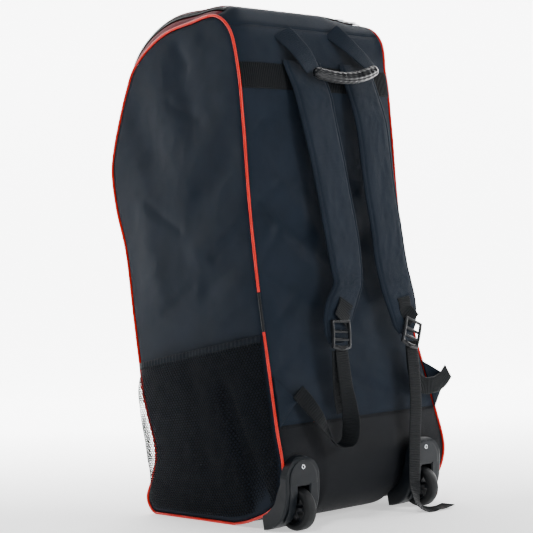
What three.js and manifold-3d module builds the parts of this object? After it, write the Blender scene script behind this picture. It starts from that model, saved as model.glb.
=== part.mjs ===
// A wheeled kit bag standing upright on its base and its two wheels.
// Millimetres, +Z up, -Y is the back panel with the straps, the origin is on the floor below the base.
import * as THREE from 'three';
import { mergeVertices } from 'three/addons/utils/BufferGeometryUtils.js';
import Module from 'manifold-3d';

const wasm = await Module();
wasm.setup();

// Driving dimensions of the body
const WIDTH = 390;
const HEIGHT = 920;
const DEPTH = 450;
const CROWN = 40;
const CROWN_POWER = 5;
const CROWN_EASE = 1.6;
const SIDE_DOME = 9;
const FOLD_HEIGHT = 9;
const FLARE = 40;
const FLARE_HEIGHT = 90;
const FLARE_REACH = 270;
const FLARE_POWER = 1.5;
const SEAT_HEIGHT = 3;
const SEAT_CROWN = 2;

// The right rear corner of the top: its seam stands up, and the cloth beside the lid's corner is sunk.
const CORNER_LIFT = 9;
const CORNER_REACH = 115;
const CORNER_POWER = 14;
const CORNER_DENT = 7;
const DENT_ACROSS = 150;
const DENT_REACH = 34;

// Cloth, trim and clearances
const FABRIC = 2;
const NET = 1.2;
const PIPING_RADIUS = 2.5;
const GAP = 0.3;
const WEBBING = 1.6;
const WEBBING_WIDTH = 32;

// Zip, flap and accent
const ZIP_WIDTH = 13;
const ZIP_COVER = 4;
const STRIP_WIDTH = 13;
const SLIDER_ACROSS = 127;
const SLIDER_LENGTH = 16;
const SLIDER_WIDTH = 9;
const SLIDER_THICKNESS = 4;
const PULL_LENGTH = 26;
const PULL_WIDTH = 7;
const PULL_THICKNESS = 1.6;
const PULL_TURN = 32;

// Back band, grab handle and grip
const BAND_UP = 0.852;
const HANDLE_WIDTH = 44;
const HANDLE_THICKNESS = 2.4;
const GRIP_HEIGHT = 22;
const GRIP_DEPTH = 18;

// Shoulder straps
const STRAP_WIDTH = 90;
const STRAP_THICKNESS = 13;
const STRAP_STANDOFF = 26;

// Ladder-lock buckle
const BUCKLE_WIDTH = 48;
const BUCKLE_HEIGHT = 56;
const BUCKLE_THICKNESS = 6;
const BUCKLE_RAIL = 6;
const BUCKLE_WINDOW = 11;
const BUCKLE_BAR = 7;

// Anchor tabs, their heights measured from the base seam
const BASE_SEAM_UP = 0.201;
const TAB_THICKNESS = 2.4;
const TAB_DROP = 3;
const TAB_HEIGHT = 90;
const TAB_FOOT = BASE_SEAM_UP * HEIGHT - TAB_DROP;
const TAB_TOP = TAB_FOOT + TAB_HEIGHT;
const TAB_POINT = TAB_FOOT + 0.49 * TAB_HEIGHT;
const TAB_REACH = 46;
const TAB_INSET = 4;
const TAB_LIFT = 6;
const RIGHT_TAB_REACH = 37;
const RIGHT_TAB_RISE = 14;
const RIGHT_TAB_LIFT = 14;

// Side pockets of net
const POCKET_BACK = 346;
const POCKET_FRONT = 286;
const POCKET_BULGE = 46;
const HEM_HEIGHT = 12;
const HEM_THICKNESS = 2;
const MOUTH_GAP = 7;

// Wheels and their corner housings
const WHEEL_DIAMETER = 76;
const WHEEL_WIDTH = 24;
const WHEEL_INSET = 32;
const WHEEL_CHAMFER = 5;
const RIM_DEPTH = 10;
const HUB_WALL = 6;
const WEB_RECESS = 4;
const AXLE_SETBACK = 18;
const AXLE_DIAMETER = 8;
const BORE_CLEARANCE = 0.3;
const WELL_CLEARANCE = 4;
const WELL_SIDE_CLEARANCE = 3;
const WELL_WALL = 2.5;
const HOUSING_WIDTH = 82;
const HOUSING_TOP = 132;
const HOUSING_STANDOFF = 17.2;
const HOUSING_EDGE = 3;
const HOUSING_ROUND = 15;
const HOUSING_KNEE = 83;
const HOUSING_CHIN = 20;
const HOUSING_SKIN = 50;
const HOUSING_WRAP = 64;
const SOLE_CLEARANCE = 0.6;
const RIVET_HEIGHT = 113;
const RIVET_RADIUS = 4.6;
const RIVET_HEAD = 1.4;
const RIVET_SHANK = 3;

// Colours
const BLACK_CLOTH = 0x252b33;
const BASE_CLOTH = 0x1f2327;
const BLACK_WEBBING = 0x1c1f21;
const MAROON = 0x8c1f30;
const RED = 0xd8402f;
const BLACK_PLASTIC = 0x1d2023;
const GREY_PLASTIC = 0x34383d;
const STEEL = 0xc9ccd0;

// Side view of the seam line, from the heel up the back, over the top, down the front and along the base.
// forward is a share of DEPTH, up a share of HEIGHT. crown is a share of CROWN: how proud the middle stands.
const OUTLINE = [
  { place: 'heel', forward: -0.382, up: 0.055, crown: 0.25 },
  { place: 'heel top', forward: -0.424, up: 0.110, crown: 0.10 },
  { place: 'base seam', forward: -0.398, up: 0.195, crown: 0.08 },
  { place: 'low back', forward: -0.371, up: 0.289, crown: 0.12 },
  { place: 'waist back', forward: -0.324, up: 0.455, crown: 0.14 },
  { place: 'mid back', forward: -0.289, up: 0.630, crown: 0.14 },
  { place: 'shoulder back', forward: -0.271, up: 0.789, crown: 0.14 },
  { place: 'top of back', forward: -0.251, up: 0.897, crown: 0.14 },
  { place: 'back corner', forward: -0.209, up: 0.970, crown: 0.20 },
  { place: 'top rear', forward: -0.129, up: 1.0, crown: 0.42 },
  { place: 'top', forward: 0.027, up: 0.996, crown: 0.66 },
  { place: 'top front', forward: 0.187, up: 0.985, crown: 0.90 },
  { place: 'brow', forward: 0.312, up: 0.958, crown: 1.0 },
  { place: 'flap end', forward: 0.406, up: 0.923, crown: 0.86 },
  { place: 'chest', forward: 0.456, up: 0.882, crown: 0.40 },
  { place: 'accent top', forward: 0.506, up: 0.829, crown: 0.32 },
  { place: 'accent', forward: 0.563, up: 0.753, crown: 0.34 },
  { place: 'belly', forward: 0.576, up: 0.717, crown: 0.36 },
  { place: 'below belly', forward: 0.556, up: 0.640, crown: 0.30 },
  { place: 'front', forward: 0.502, up: 0.551, crown: 0.20 },
  { place: 'waist front', forward: 0.462, up: 0.403, crown: 0.16 },
  { place: 'pocket top', forward: 0.436, up: 0.311, crown: 0.14 },
  { place: 'pocket', forward: 0.422, up: 0.251, crown: 0.14 },
  { place: 'tuck start', forward: 0.393, up: 0.203, crown: 0.12 },
  { place: 'tuck', forward: 0.350, up: 0.130, crown: 0.08 },
  { place: 'tuck end', forward: 0.378, up: 0.078, crown: 0.06 },
  { place: 'toe', forward: 0.418, up: 0.032, crown: 0.04 },
  { place: 'toe foot', forward: 0.385, up: 0.007, crown: 0.04 },
  { place: 'base front', forward: 0.310, up: 0.003, crown: 0.05 },
  { place: 'base rear', forward: -0.110, up: 0.003, crown: 0.05 },
  { place: 'heel start', forward: -0.190, up: 0.009, crown: 0.10 },
  { place: 'heel foot', forward: -0.256, up: 0.019, crown: 0.26 },
  { place: 'heel rise', forward: -0.329, up: 0.034, crown: 0.32 },
];

// Seams and corners of the outline, each at the nearest point of it, with the steps to the next one.
// As many steps lie between the heel and lidRear as between brow and the toe, two steps past toeSeam.
const BREAKS = [
  { name: 'heel', forward: -0.382, up: 0.055, steps: 3 },
  { name: 'backSeam', forward: -0.396, up: BASE_SEAM_UP, steps: 13 },
  { name: 'bandTop', forward: -0.250, up: 0.902, steps: 2 },
  { name: 'topSeam', forward: -0.200, up: 0.976, steps: 2 },
  { name: 'lidRear', forward: -0.132, up: 1.0, steps: 9 },
  { name: 'brow', forward: 0.312, up: 0.958, steps: 2 },
  { name: 'lidFront', forward: 0.412, up: 0.919, steps: 3 },
  { name: 'accentTop', forward: 0.516, up: 0.815, steps: 2 },
  { name: 'accentFoot', forward: 0.574, up: 0.735, steps: 11 },
  { name: 'toeSeam', forward: 0.388, up: 0.066, steps: 11 },
];

// The wheels and their housings stand off the back of the heel.
const heelBack = -OUTLINE.find((row) => row.place === 'heel top').forward * DEPTH;
const HOUSING_BACK = heelBack + HOUSING_STANDOFF;
const AXLE_BACK = HOUSING_BACK - AXLE_SETBACK;

// Folds of the cloth: a ridge or, below zero, a dent along a line. On the back across is a share of WIDTH
// from the middle, on the sides a share of DEPTH as in OUTLINE. up is a share of HEIGHT, wide of WIDTH
// and high of FOLD_HEIGHT.
const BACK_FOLDS = [
  { across: -0.46, up: 0.70, toAcross: -0.20, toUp: 0.61, wide: 0.06, high: 0.55 },
  { across: -0.46, up: 0.64, toAcross: -0.18, toUp: 0.56, wide: 0.05, high: -0.7 },
  { across: -0.46, up: 0.58, toAcross: -0.16, toUp: 0.50, wide: 0.06, high: 0.55 },
  { across: -0.46, up: 0.50, toAcross: -0.20, toUp: 0.44, wide: 0.05, high: -0.6 },
  { across: -0.44, up: 0.40, toAcross: -0.14, toUp: 0.36, wide: 0.06, high: 0.5 },
  { across: -0.40, up: 0.33, toAcross: -0.10, toUp: 0.27, wide: 0.05, high: -0.5 },
  { across: 0.40, up: 0.62, toAcross: 0.16, toUp: 0.54, wide: 0.06, high: -0.5 },
  { across: 0.42, up: 0.45, toAcross: 0.12, toUp: 0.40, wide: 0.06, high: 0.5 },
];
const SIDE_FOLDS = [
  { across: 0.40, up: 0.84, toAcross: 0.28, toUp: 0.74, wide: 0.10, high: -0.7 },
  { across: 0.10, up: 0.90, toAcross: 0.02, toUp: 0.80, wide: 0.09, high: -0.5 },
  { across: -0.20, up: 0.72, toAcross: -0.02, toUp: 0.66, wide: 0.06, high: -0.6 },
  { across: -0.24, up: 0.62, toAcross: 0.00, toUp: 0.54, wide: 0.07, high: 0.5 },
  { across: -0.26, up: 0.53, toAcross: -0.04, toUp: 0.47, wide: 0.06, high: -0.6 },
  { across: 0.30, up: 0.50, toAcross: 0.40, toUp: 0.66, wide: 0.12, high: 0.6 },
];

// How far the net pocket stands off the side, as shares of POCKET_BULGE, in rows from the base to its hem.
const POCKET_ROWS = [
  { up: 0.0, rear: 0.00, middle: 0.00, nearFront: 0.00 },
  { up: 0.14, rear: 0.12, middle: 0.22, nearFront: 0.38 },
  { up: 0.35, rear: 0.20, middle: 0.42, nearFront: 0.76 },
  { up: 0.60, rear: 0.22, middle: 0.44, nearFront: 0.88 },
  { up: 0.82, rear: 0.16, middle: 0.30, nearFront: 0.76 },
  { up: 0.94, rear: 0.08, middle: 0.16, nearFront: 0.40 },
  { up: 1.0, rear: 0.03, middle: 0.06, nearFront: 0.05 },
];

// Middle line of each shoulder strap: up is a share of HEIGHT, across of WIDTH, off of STRAP_STANDOFF,
// wide of STRAP_WIDTH and thick of STRAP_THICKNESS.
const STRAP_LEFT = [
  { up: 0.912, across: -0.112, off: 0.09, wide: 1.07, thick: 0.45 },
  { up: 0.895, across: -0.108, off: 0.10, wide: 1.08, thick: 0.60 },
  { up: 0.850, across: -0.088, off: 0.30, wide: 1.07, thick: 0.90 },
  { up: 0.793, across: -0.082, off: 0.58, wide: 1.02, thick: 1.00 },
  { up: 0.674, across: -0.043, off: 0.80, wide: 0.98, thick: 1.00 },
  { up: 0.573, across: -0.018, off: 0.90, wide: 0.98, thick: 1.00 },
  { up: 0.502, across: -0.010, off: 0.92, wide: 0.92, thick: 1.00 },
  { up: 0.467, across: -0.014, off: 0.95, wide: 0.84, thick: 1.00 },
  { up: 0.435, across: -0.066, off: 1.00, wide: 0.93, thick: 1.00 },
  { up: 0.400, across: -0.112, off: 1.05, wide: 0.86, thick: 0.95 },
  { up: 0.368, across: -0.138, off: 1.05, wide: 0.64, thick: 0.80 },
  { up: 0.350, across: -0.144, off: 1.05, wide: 0.40, thick: 0.60 },
];
const STRAP_RIGHT = [
  { up: 0.912, across: 0.250, off: 0.09, wide: 0.96, thick: 0.45 },
  { up: 0.895, across: 0.252, off: 0.10, wide: 0.96, thick: 0.60 },
  { up: 0.850, across: 0.258, off: 0.35, wide: 0.96, thick: 0.90 },
  { up: 0.793, across: 0.268, off: 0.70, wide: 0.96, thick: 1.00 },
  { up: 0.674, across: 0.272, off: 0.95, wide: 0.95, thick: 1.00 },
  { up: 0.573, across: 0.292, off: 1.00, wide: 0.95, thick: 1.00 },
  { up: 0.502, across: 0.296, off: 1.05, wide: 0.98, thick: 1.00 },
  { up: 0.448, across: 0.310, off: 1.15, wide: 0.98, thick: 1.00 },
  { up: 0.410, across: 0.322, off: 1.20, wide: 0.88, thick: 0.95 },
  { up: 0.375, across: 0.326, off: 1.20, wide: 0.68, thick: 0.80 },
  { up: 0.357, across: 0.328, off: 1.20, wide: 0.40, thick: 0.60 },
];

// Routes of the webbing. across is a share of WIDTH from the middle, up a share of HEIGHT, out a share of
// STRAP_STANDOFF off the back, and turn is how far the webbing is turned edge on, in degrees.
const LOOP_LEFT = [
  { across: -0.375, up: 0.263, out: 0.37, turn: 0 },
  { across: -0.339, up: 0.243, out: 0.55, turn: 0 },
  { across: -0.295, up: 0.212, out: 0.85, turn: 12 },
  { across: -0.258, up: 0.180, out: 1.15, turn: 38 },
  { across: -0.229, up: 0.160, out: 1.30, turn: 66 },
  { across: -0.184, up: 0.153, out: 1.35, turn: 82 },
  { across: -0.140, up: 0.160, out: 1.35, turn: 70 },
  { across: -0.118, up: 0.185, out: 1.30, turn: 48 },
  { across: -0.114, up: 0.220, out: 1.25, turn: 20 },
  { across: -0.120, up: 0.265, out: 1.25, turn: 4 },
  { across: -0.128, up: 0.343, out: 1.37, turn: 0 },
];
const TAIL_LEFT = [
  { across: -0.144, up: 0.336, out: 1.27, turn: 0 },
  { across: -0.146, up: 0.275, out: 0.98, turn: 0 },
  { across: -0.140, up: 0.240, out: 0.82, turn: 2 },
  { across: -0.134, up: 0.214, out: 0.78, turn: 4 },
];
const TAIL_RIGHT = [
  { across: 0.356, up: 0.342, out: 1.43, turn: 0 },
  { across: 0.350, up: 0.280, out: 1.37, turn: 0 },
  { across: 0.340, up: 0.220, out: 1.30, turn: 0 },
  { across: 0.322, up: 0.150, out: 1.26, turn: 0 },
  { across: 0.306, up: 0.095, out: 1.34, turn: 0 },
  { across: 0.290, up: 0.045, out: 1.50, turn: 4 },
  { across: 0.276, up: 0.017, out: 1.90, turn: 26 },
  { across: 0.292, up: 0.006, out: 2.30, turn: 66 },
  { across: 0.350, up: 0.004, out: 2.46, turn: 88 },
  { across: 0.410, up: 0.004, out: 2.46, turn: 90 },
  { across: 0.455, up: 0.007, out: 2.46, turn: 90 },
];
const LINK_RIGHT = [
  { across: 0.665, up: 0.270, out: 0.69, turn: 0 },
  { across: 0.610, up: 0.254, out: 0.72, turn: 0 },
  { across: 0.520, up: 0.246, out: 0.86, turn: 0 },
  { across: 0.430, up: 0.250, out: 0.90, turn: 0 },
  { across: 0.374, up: 0.272, out: 1.05, turn: 0 },
  { across: 0.356, up: 0.334, out: 1.34, turn: 0 },
];
const HANDLE_LEFT = [
  { across: -0.196, up: 0.972, out: 0.10, wide: 1.10, turn: 0 },
  { across: -0.178, up: 0.955, out: 0.40, wide: 1.08, turn: 0 },
  { across: -0.148, up: 0.925, out: 0.95, wide: 1.04, turn: 4 },
  { across: -0.110, up: 0.892, out: 1.12, wide: 0.96, turn: 10 },
];
const HANDLE_RIGHT = [
  { across: 0.150, up: 0.984, out: 0.12, wide: 1.00, turn: 0 },
  { across: 0.188, up: 0.962, out: 0.45, wide: 0.95, turn: 6 },
  { across: 0.248, up: 0.928, out: 0.95, wide: 0.85, turn: 14 },
  { across: 0.308, up: 0.901, out: 1.16, wide: 0.70, turn: 20 },
];
// The grip's middle line, with its girth as a share of GRIP_HEIGHT and GRIP_DEPTH.
const GRIP_ROWS = [
  { across: -0.105, up: 0.890, out: 1.12, girth: 0.62 },
  { across: -0.077, up: 0.886, out: 1.18, girth: 0.95 },
  { across: -0.007, up: 0.881, out: 1.25, girth: 1.0 },
  { across: 0.073, up: 0.879, out: 1.28, girth: 1.0 },
  { across: 0.163, up: 0.882, out: 1.28, girth: 1.0 },
  { across: 0.251, up: 0.891, out: 1.25, girth: 1.0 },
  { across: 0.311, up: 0.900, out: 1.18, girth: 0.92 },
  { across: 0.331, up: 0.904, out: 1.12, girth: 0.6 },
];

const group = new THREE.Group();

function addPart(name, geometry, colour, roughness, metalness = 0) {
  const material = new THREE.MeshStandardMaterial({ color: colour, roughness, metalness });
  const mesh = new THREE.Mesh(geometry, material);
  mesh.name = name;
  group.add(mesh);
  return mesh;
}

// Mesh building

function signedVolume(positions, index) {
  let volume = 0;
  const a = new THREE.Vector3();
  const b = new THREE.Vector3();
  const c = new THREE.Vector3();
  for (let i = 0; i < index.length; i += 3) {
    a.fromArray(positions, index[i] * 3);
    b.fromArray(positions, index[i + 1] * 3);
    c.fromArray(positions, index[i + 2] * 3);
    volume += a.dot(b.cross(c)) / 6;
  }
  return volume;
}

function closedGeometry(points, triangles) {
  const positions = points.flatMap((p) => [p.x, p.y, p.z]);
  const index = triangles.flat();
  if (signedVolume(positions, index) < 0) {
    for (let i = 0; i < index.length; i += 3) {
      [index[i], index[i + 1]] = [index[i + 1], index[i]];
    }
  }
  const geometry = new THREE.BufferGeometry();
  geometry.setAttribute('position', new THREE.Float32BufferAttribute(positions, 3));
  geometry.setIndex(index);
  return geometry;
}

function quad(a, b, c, d) {
  return [[a, b, c], [a, c, d]];
}

// A wall between two grids of points. Each cell is split along the outer grid's shorter diagonal.
function wallGeometry(outer, inner) {
  const rows = outer.length;
  const columns = outer[0].length;
  const points = [...outer.flat(), ...inner.flat()];
  const layer = rows * columns;
  const at = (side, row, column) => side * layer + row * columns + column;
  const triangles = [];
  for (let row = 0; row < rows - 1; row += 1) {
    for (let column = 0; column < columns - 1; column += 1) {
      const corners = [[row, column], [row, column + 1], [row + 1, column + 1], [row + 1, column]];
      const [a, b, c, d] = corners.map(([r, k]) => outer[r][k]);
      if (b.distanceTo(d) < a.distanceTo(c)) {
        corners.push(corners.shift());
      }
      triangles.push(...quad(...corners.map(([r, k]) => at(0, r, k))));
      corners.reverse();
      corners.unshift(corners.pop());
      triangles.push(...quad(...corners.map(([r, k]) => at(1, r, k))));
    }
  }
  const rim = [];
  for (let column = 0; column < columns - 1; column += 1) {
    rim.push([0, column]);
  }
  for (let row = 0; row < rows - 1; row += 1) {
    rim.push([row, columns - 1]);
  }
  for (let column = columns - 1; column > 0; column -= 1) {
    rim.push([rows - 1, column]);
  }
  for (let row = rows - 1; row > 0; row -= 1) {
    rim.push([row, 0]);
  }
  rim.forEach(([row, column], i) => {
    const [nextRow, nextColumn] = rim[(i + 1) % rim.length];
    triangles.push(...quad(at(0, row, column), at(1, row, column),
      at(1, nextRow, nextColumn), at(0, nextRow, nextColumn)));
  });
  return closedGeometry(points, triangles);
}

// A solid through closed sections of the same number of points, capped unless it closes on itself.
function loftGeometry(sections, closed = false) {
  const count = sections[0].length;
  const points = sections.flat();
  const triangles = [];
  const spans = closed ? sections.length : sections.length - 1;
  for (let i = 0; i < spans; i += 1) {
    const next = (i + 1) % sections.length;
    for (let j = 0; j < count; j += 1) {
      const k = (j + 1) % count;
      triangles.push(...quad(i * count + j, i * count + k, next * count + k, next * count + j));
    }
  }
  if (!closed) {
    const last = (sections.length - 1) * count;
    for (let j = 1; j < count - 1; j += 1) {
      triangles.push([0, j + 1, j]);
      triangles.push([last, last + j, last + j + 1]);
    }
  }
  return closedGeometry(points, triangles);
}

function toSolid(geometry) {
  const bare = geometry.clone();
  bare.deleteAttribute('normal');
  bare.deleteAttribute('uv');
  const merged = mergeVertices(bare, 1e-4);
  return new wasm.Manifold(new wasm.Mesh({
    numProp: 3,
    vertProperties: new Float32Array(merged.attributes.position.array),
    triVerts: new Uint32Array(merged.index.array),
  }));
}

// Edges much shorter than a gap, left where cuts cross, are merged away.
function toGeometry(solid) {
  const mesh = solid.simplify(GAP / 10).getMesh();
  const geometry = new THREE.BufferGeometry();
  geometry.setAttribute('position', new THREE.BufferAttribute(new Float32Array(mesh.vertProperties), 3));
  geometry.setIndex(new THREE.BufferAttribute(new Uint32Array(mesh.triVerts), 1));
  return geometry;
}

function boxSolid(low, high) {
  const size = high.clone().sub(low);
  const geometry = new THREE.BoxGeometry(size.x, size.y, size.z);
  const middle = low.clone().add(high).multiplyScalar(0.5);
  geometry.translate(middle.x, middle.y, middle.z);
  return toSolid(geometry);
}

function crossCylinder(radius, length, centre, sides) {
  const geometry = new THREE.CylinderGeometry(radius, radius, length, sides);
  geometry.rotateZ(Math.PI / 2);
  geometry.translate(centre.x, centre.y, centre.z);
  return geometry;
}

// Outline of the body

const outlineCurve = new THREE.CatmullRomCurve3(
  OUTLINE.map((row) => new THREE.Vector3(row.crown * CROWN, row.forward * DEPTH, row.up * HEIGHT)),
  true,
  'centripetal',
);

function denseOutline() {
  const COUNT = 1600;
  const points = [];
  for (let i = 0; i < COUNT; i += 1) {
    const p = outlineCurve.getPoint(i / COUNT);
    const seated = p.z < SEAT_HEIGHT * 1.3;
    points.push({ y: p.y, z: seated ? SEAT_HEIGHT : p.z, bare: p.z, crown: seated ? SEAT_CROWN : p.x });
  }
  return points;
}

function nearestIndex(points, forward, up) {
  let best = 0;
  let least = Infinity;
  points.forEach((p, i) => {
    const distance = Math.hypot(p.y - forward * DEPTH, p.z - up * HEIGHT);
    if (distance < least) {
      least = distance;
      best = i;
    }
  });
  return best;
}

// Steps between two places of the outline, closer together where it turns.
function spreadSteps(points, from, to, steps) {
  const STEP_LENGTH = 45;
  const STEP_TURN = 0.35;
  const weights = [0];
  let heading = null;
  const count = (to - from + points.length) % points.length;
  for (let i = 1; i <= count; i += 1) {
    const a = points[(from + i - 1) % points.length];
    const b = points[(from + i) % points.length];
    const angle = Math.atan2(b.bare - a.bare, b.y - a.y);
    let turn = heading === null ? 0 : Math.abs(angle - heading);
    if (turn > Math.PI) {
      turn = 2 * Math.PI - turn;
    }
    heading = angle;
    const length = Math.hypot(b.y - a.y, b.bare - a.bare);
    weights.push(weights[i - 1] + length / STEP_LENGTH + turn / STEP_TURN);
  }
  const indices = [];
  for (let step = 0; step < steps; step += 1) {
    const target = (weights[count] * step) / steps;
    const found = weights.findIndex((weight) => weight >= target);
    indices.push((from + found) % points.length);
  }
  return indices;
}

function buildRing() {
  const points = denseOutline();
  const starts = BREAKS.map((row) => nearestIndex(points, row.forward, row.up));
  const ring = [];
  const seams = {};
  BREAKS.forEach((row, i) => {
    seams[row.name] = ring.length;
    const indices = spreadSteps(points, starts[i], starts[(i + 1) % starts.length], row.steps);
    indices.forEach((index) => ring.push({ ...points[index] }));
  });
  let along = 0;
  ring.forEach((p, i) => {
    const before = ring[(i + ring.length - 1) % ring.length];
    const after = ring[(i + 1) % ring.length];
    const entry = new THREE.Vector2(p.y - before.y, p.z - before.z).normalize();
    const exit = new THREE.Vector2(after.y - p.y, after.z - p.z).normalize();
    const share = 1 + entry.dot(exit);
    p.ny = -(entry.y + exit.y) / share;
    p.nz = (entry.x + exit.x) / share;
    p.along = along;
    along += Math.hypot(after.y - p.y, after.z - p.z);
  });
  return { ring, seams, length: along };
}

const { ring, seams, length: ringLength } = buildRing();
const seamAlong = Object.fromEntries(Object.entries(seams).map(([name, i]) => [name, ring[i].along]));

// The outline at a distance along it: between two of its points everything is in proportion.
function ringAt(distance) {
  const along = ((distance % ringLength) + ringLength) % ringLength;
  let i = ring.length - 1;
  while (ring[i].along > along) {
    i -= 1;
  }
  const a = ring[i];
  const b = ring[(i + 1) % ring.length];
  const end = i === ring.length - 1 ? ringLength : b.along;
  const t = (along - a.along) / (end - a.along);
  const mixed = {};
  for (const key of ['y', 'z', 'crown', 'ny', 'nz', 'corner', 'lidCorner']) {
    mixed[key] = a[key] + (b[key] - a[key]) * t;
  }
  return mixed;
}

// 1 at the right rear corner of the top, down to 0 at the band behind it and a reach away in front
function cornerShare(along) {
  const ahead = along - seamAlong.topSeam;
  const reach = ahead < 0 ? seamAlong.topSeam - seamAlong.bandTop : CORNER_REACH;
  return Math.max(0, 1 - (ahead / reach) ** 2) ** 2;
}

for (const p of ring) {
  p.corner = cornerShare(p.along);
  p.lidCorner = cornerShare(p.along - CORNER_REACH / 2);
}

function seamLift(side, at) {
  return side < 0 ? 0 : CORNER_LIFT * at.corner;
}

function cornerRise(at, x, share) {
  const nearEdge = share ** CORNER_POWER;
  const dent = CORNER_DENT * Math.exp(-(((x - DENT_ACROSS) / DENT_REACH) ** 2));
  return seamLift(Math.sign(x), at) * nearEdge - dent * at.lidCorner * (1 - nearEdge);
}

function halfWidth(side, z) {
  if (side < 0) {
    return WIDTH / 2;
  }
  const reach = Math.min(1, Math.abs(z - FLARE_HEIGHT) / FLARE_REACH);
  return WIDTH / 2 + FLARE * Math.cos((reach * Math.PI) / 2) ** FLARE_POWER;
}

function foldHeight(folds, across, up, acrossSize) {
  let height = 0;
  for (const fold of folds) {
    const start = new THREE.Vector2(fold.across * acrossSize, fold.up * HEIGHT);
    const end = new THREE.Vector2(fold.toAcross * acrossSize, fold.toUp * HEIGHT);
    const line = end.clone().sub(start);
    const point = new THREE.Vector2(across, up).sub(start);
    const t = Math.min(1, Math.max(0, point.dot(line) / line.lengthSq()));
    const away = point.sub(line.multiplyScalar(t)).length() / (fold.wide * WIDTH);
    height += fold.high * FOLD_HEIGHT * Math.exp(-away * away);
  }
  return height;
}

function crownProfile(share) {
  return Math.min(1, CROWN_EASE * (1 - Math.abs(share) ** CROWN_POWER));
}

// Height of the cloth over the seam line at a place on the back, top, front or base.
function gussetRise(distance, x) {
  const at = ringAt(distance);
  const half = halfWidth(Math.sign(x), at.z);
  const share = Math.min(1, Math.abs(x) / half);
  const along = ((distance % ringLength) + ringLength) % ringLength;
  const onBack = along > seamAlong.backSeam && along < seamAlong.topSeam;
  const calm = Math.min(1, (1 - share) * 6);
  const fold = onBack ? foldHeight(BACK_FOLDS, x, at.z, WIDTH) * calm * endFade(along) : 0;
  return at.crown * crownProfile(share) * besideHousing(at, x) + fold + cornerRise(at, x, share);
}

// The heel's crown flattens out where the cloth runs under a wheel housing.
function besideHousing(at, x) {
  const EASE = 30;
  const inner = WIDTH / 2 - WHEEL_INSET - HOUSING_WIDTH / 2;
  const across = Math.min(1, Math.max(0, (Math.abs(x) - inner + EASE) / EASE));
  const low = at.y < 0 ? Math.min(1, Math.max(0, (HOUSING_TOP + EASE - at.z) / EASE)) : 0;
  return 1 - across * low;
}

function endFade(along) {
  const FADE = 60;
  const nearest = Math.min(along - seamAlong.backSeam, seamAlong.topSeam - along);
  return Math.min(1, Math.max(0, nearest / FADE));
}

function gussetPoint(distance, x, offset) {
  const at = ringAt(distance);
  const rise = offset + gussetRise(distance, x);
  return new THREE.Vector3(x, at.y + at.ny * rise, at.z + at.nz * rise);
}

// Panels across the body. from and to are distances along the outline.
const EDGE_INSET = PIPING_RADIUS + GAP;
const GUSSET_COLUMNS = [0, 0.05, 0.11, 0.3, 0.5, 0.7, 0.89, 0.95, 1];
const BACK_COLUMNS = [0, 0.045, 0.1, 0.19, 0.29, 0.4, 0.55, 0.7, 0.84, 0.92, 1];
const BASE_COLUMNS = [0, 0.1, 0.19, 0.34, 0.5, 0.63, 0.74, 0.86, 1];
const FLAP_COLUMNS = [0, 0.026, 0.11, 0.3, 0.5, 0.7, 0.89, 0.974, 1];

function stationsBetween(from, to) {
  const TINY = 0.5;
  const span = to - from;
  const inside = ring
    .map((p) => ((p.along - from) % ringLength + ringLength) % ringLength)
    .filter((ahead) => ahead > TINY && ahead < span - TINY)
    .sort((a, b) => a - b);
  return [from, ...inside.map((ahead) => from + ahead), to];
}

function gussetPanel({ from, to, inset = EDGE_INSET, insetEnd = inset, low = -FABRIC / 2, high = FABRIC / 2,
  columns = GUSSET_COLUMNS }) {
  const grid = (offset) => stationsBetween(from, to).map((distance) => columns.map((share) => {
    const { z } = ringAt(distance);
    const left = -halfWidth(-1, z) + inset;
    const right = halfWidth(1, z) - insetEnd;
    return gussetPoint(distance, left + (right - left) * share, offset);
  }));
  return wallGeometry(grid(high), grid(low));
}

const TRIM = GAP / 2;
const endAlong = ringLength + seamAlong.backSeam;
const zipOuter = EDGE_INSET + STRIP_WIDTH + GAP;
const zipInner = zipOuter + ZIP_WIDTH;
const lidInset = zipInner - ZIP_COVER;
const housings = [-1, 1].map((side) => ({
  side,
  name: side < 0 ? 'left' : 'right',
  x: side * (WIDTH / 2 - WHEEL_INSET),
}));
const axleZ = WHEEL_DIAMETER / 2;

function wellSolid(grow) {
  return housings.map(({ x }) => {
    const centre = new THREE.Vector3(x, -AXLE_BACK, axleZ);
    const radius = WHEEL_DIAMETER / 2 + WELL_CLEARANCE + grow;
    const width = WHEEL_WIDTH + 2 * (WELL_SIDE_CLEARANCE + grow);
    return toSolid(crossCylinder(radius, width, centre, 24));
  });
}

function addBodyPanels() {
  addPart('back_panel', gussetPanel({
    from: seamAlong.backSeam + TRIM,
    to: seamAlong.topSeam - TRIM,
    columns: BACK_COLUMNS,
  }), BLACK_CLOTH, 0.75);
  addPart('top_panel', gussetPanel({
    from: seamAlong.topSeam + TRIM,
    to: seamAlong.lidRear - TRIM,
  }), BLACK_CLOTH, 0.75);
  addPart('front_upper', gussetPanel({
    from: seamAlong.lidFront + TRIM,
    to: seamAlong.accentTop - TRIM,
  }), BLACK_CLOTH, 0.75);
  addPart('front_accent', gussetPanel({
    from: seamAlong.accentTop + TRIM,
    to: seamAlong.accentFoot - TRIM,
  }), MAROON, 0.7);
  addPart('front_panel', gussetPanel({
    from: seamAlong.accentFoot + TRIM,
    to: seamAlong.toeSeam - TRIM,
  }), BLACK_CLOTH, 0.75);
  let base = toSolid(gussetPanel({
    from: seamAlong.toeSeam + TRIM,
    to: endAlong - TRIM,
    columns: BASE_COLUMNS,
  }));
  for (const well of wellSolid(WELL_WALL + GAP)) {
    base = base.subtract(well);
  }
  addPart('base_panel', toGeometry(base), BASE_CLOTH, 0.6);
}

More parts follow.
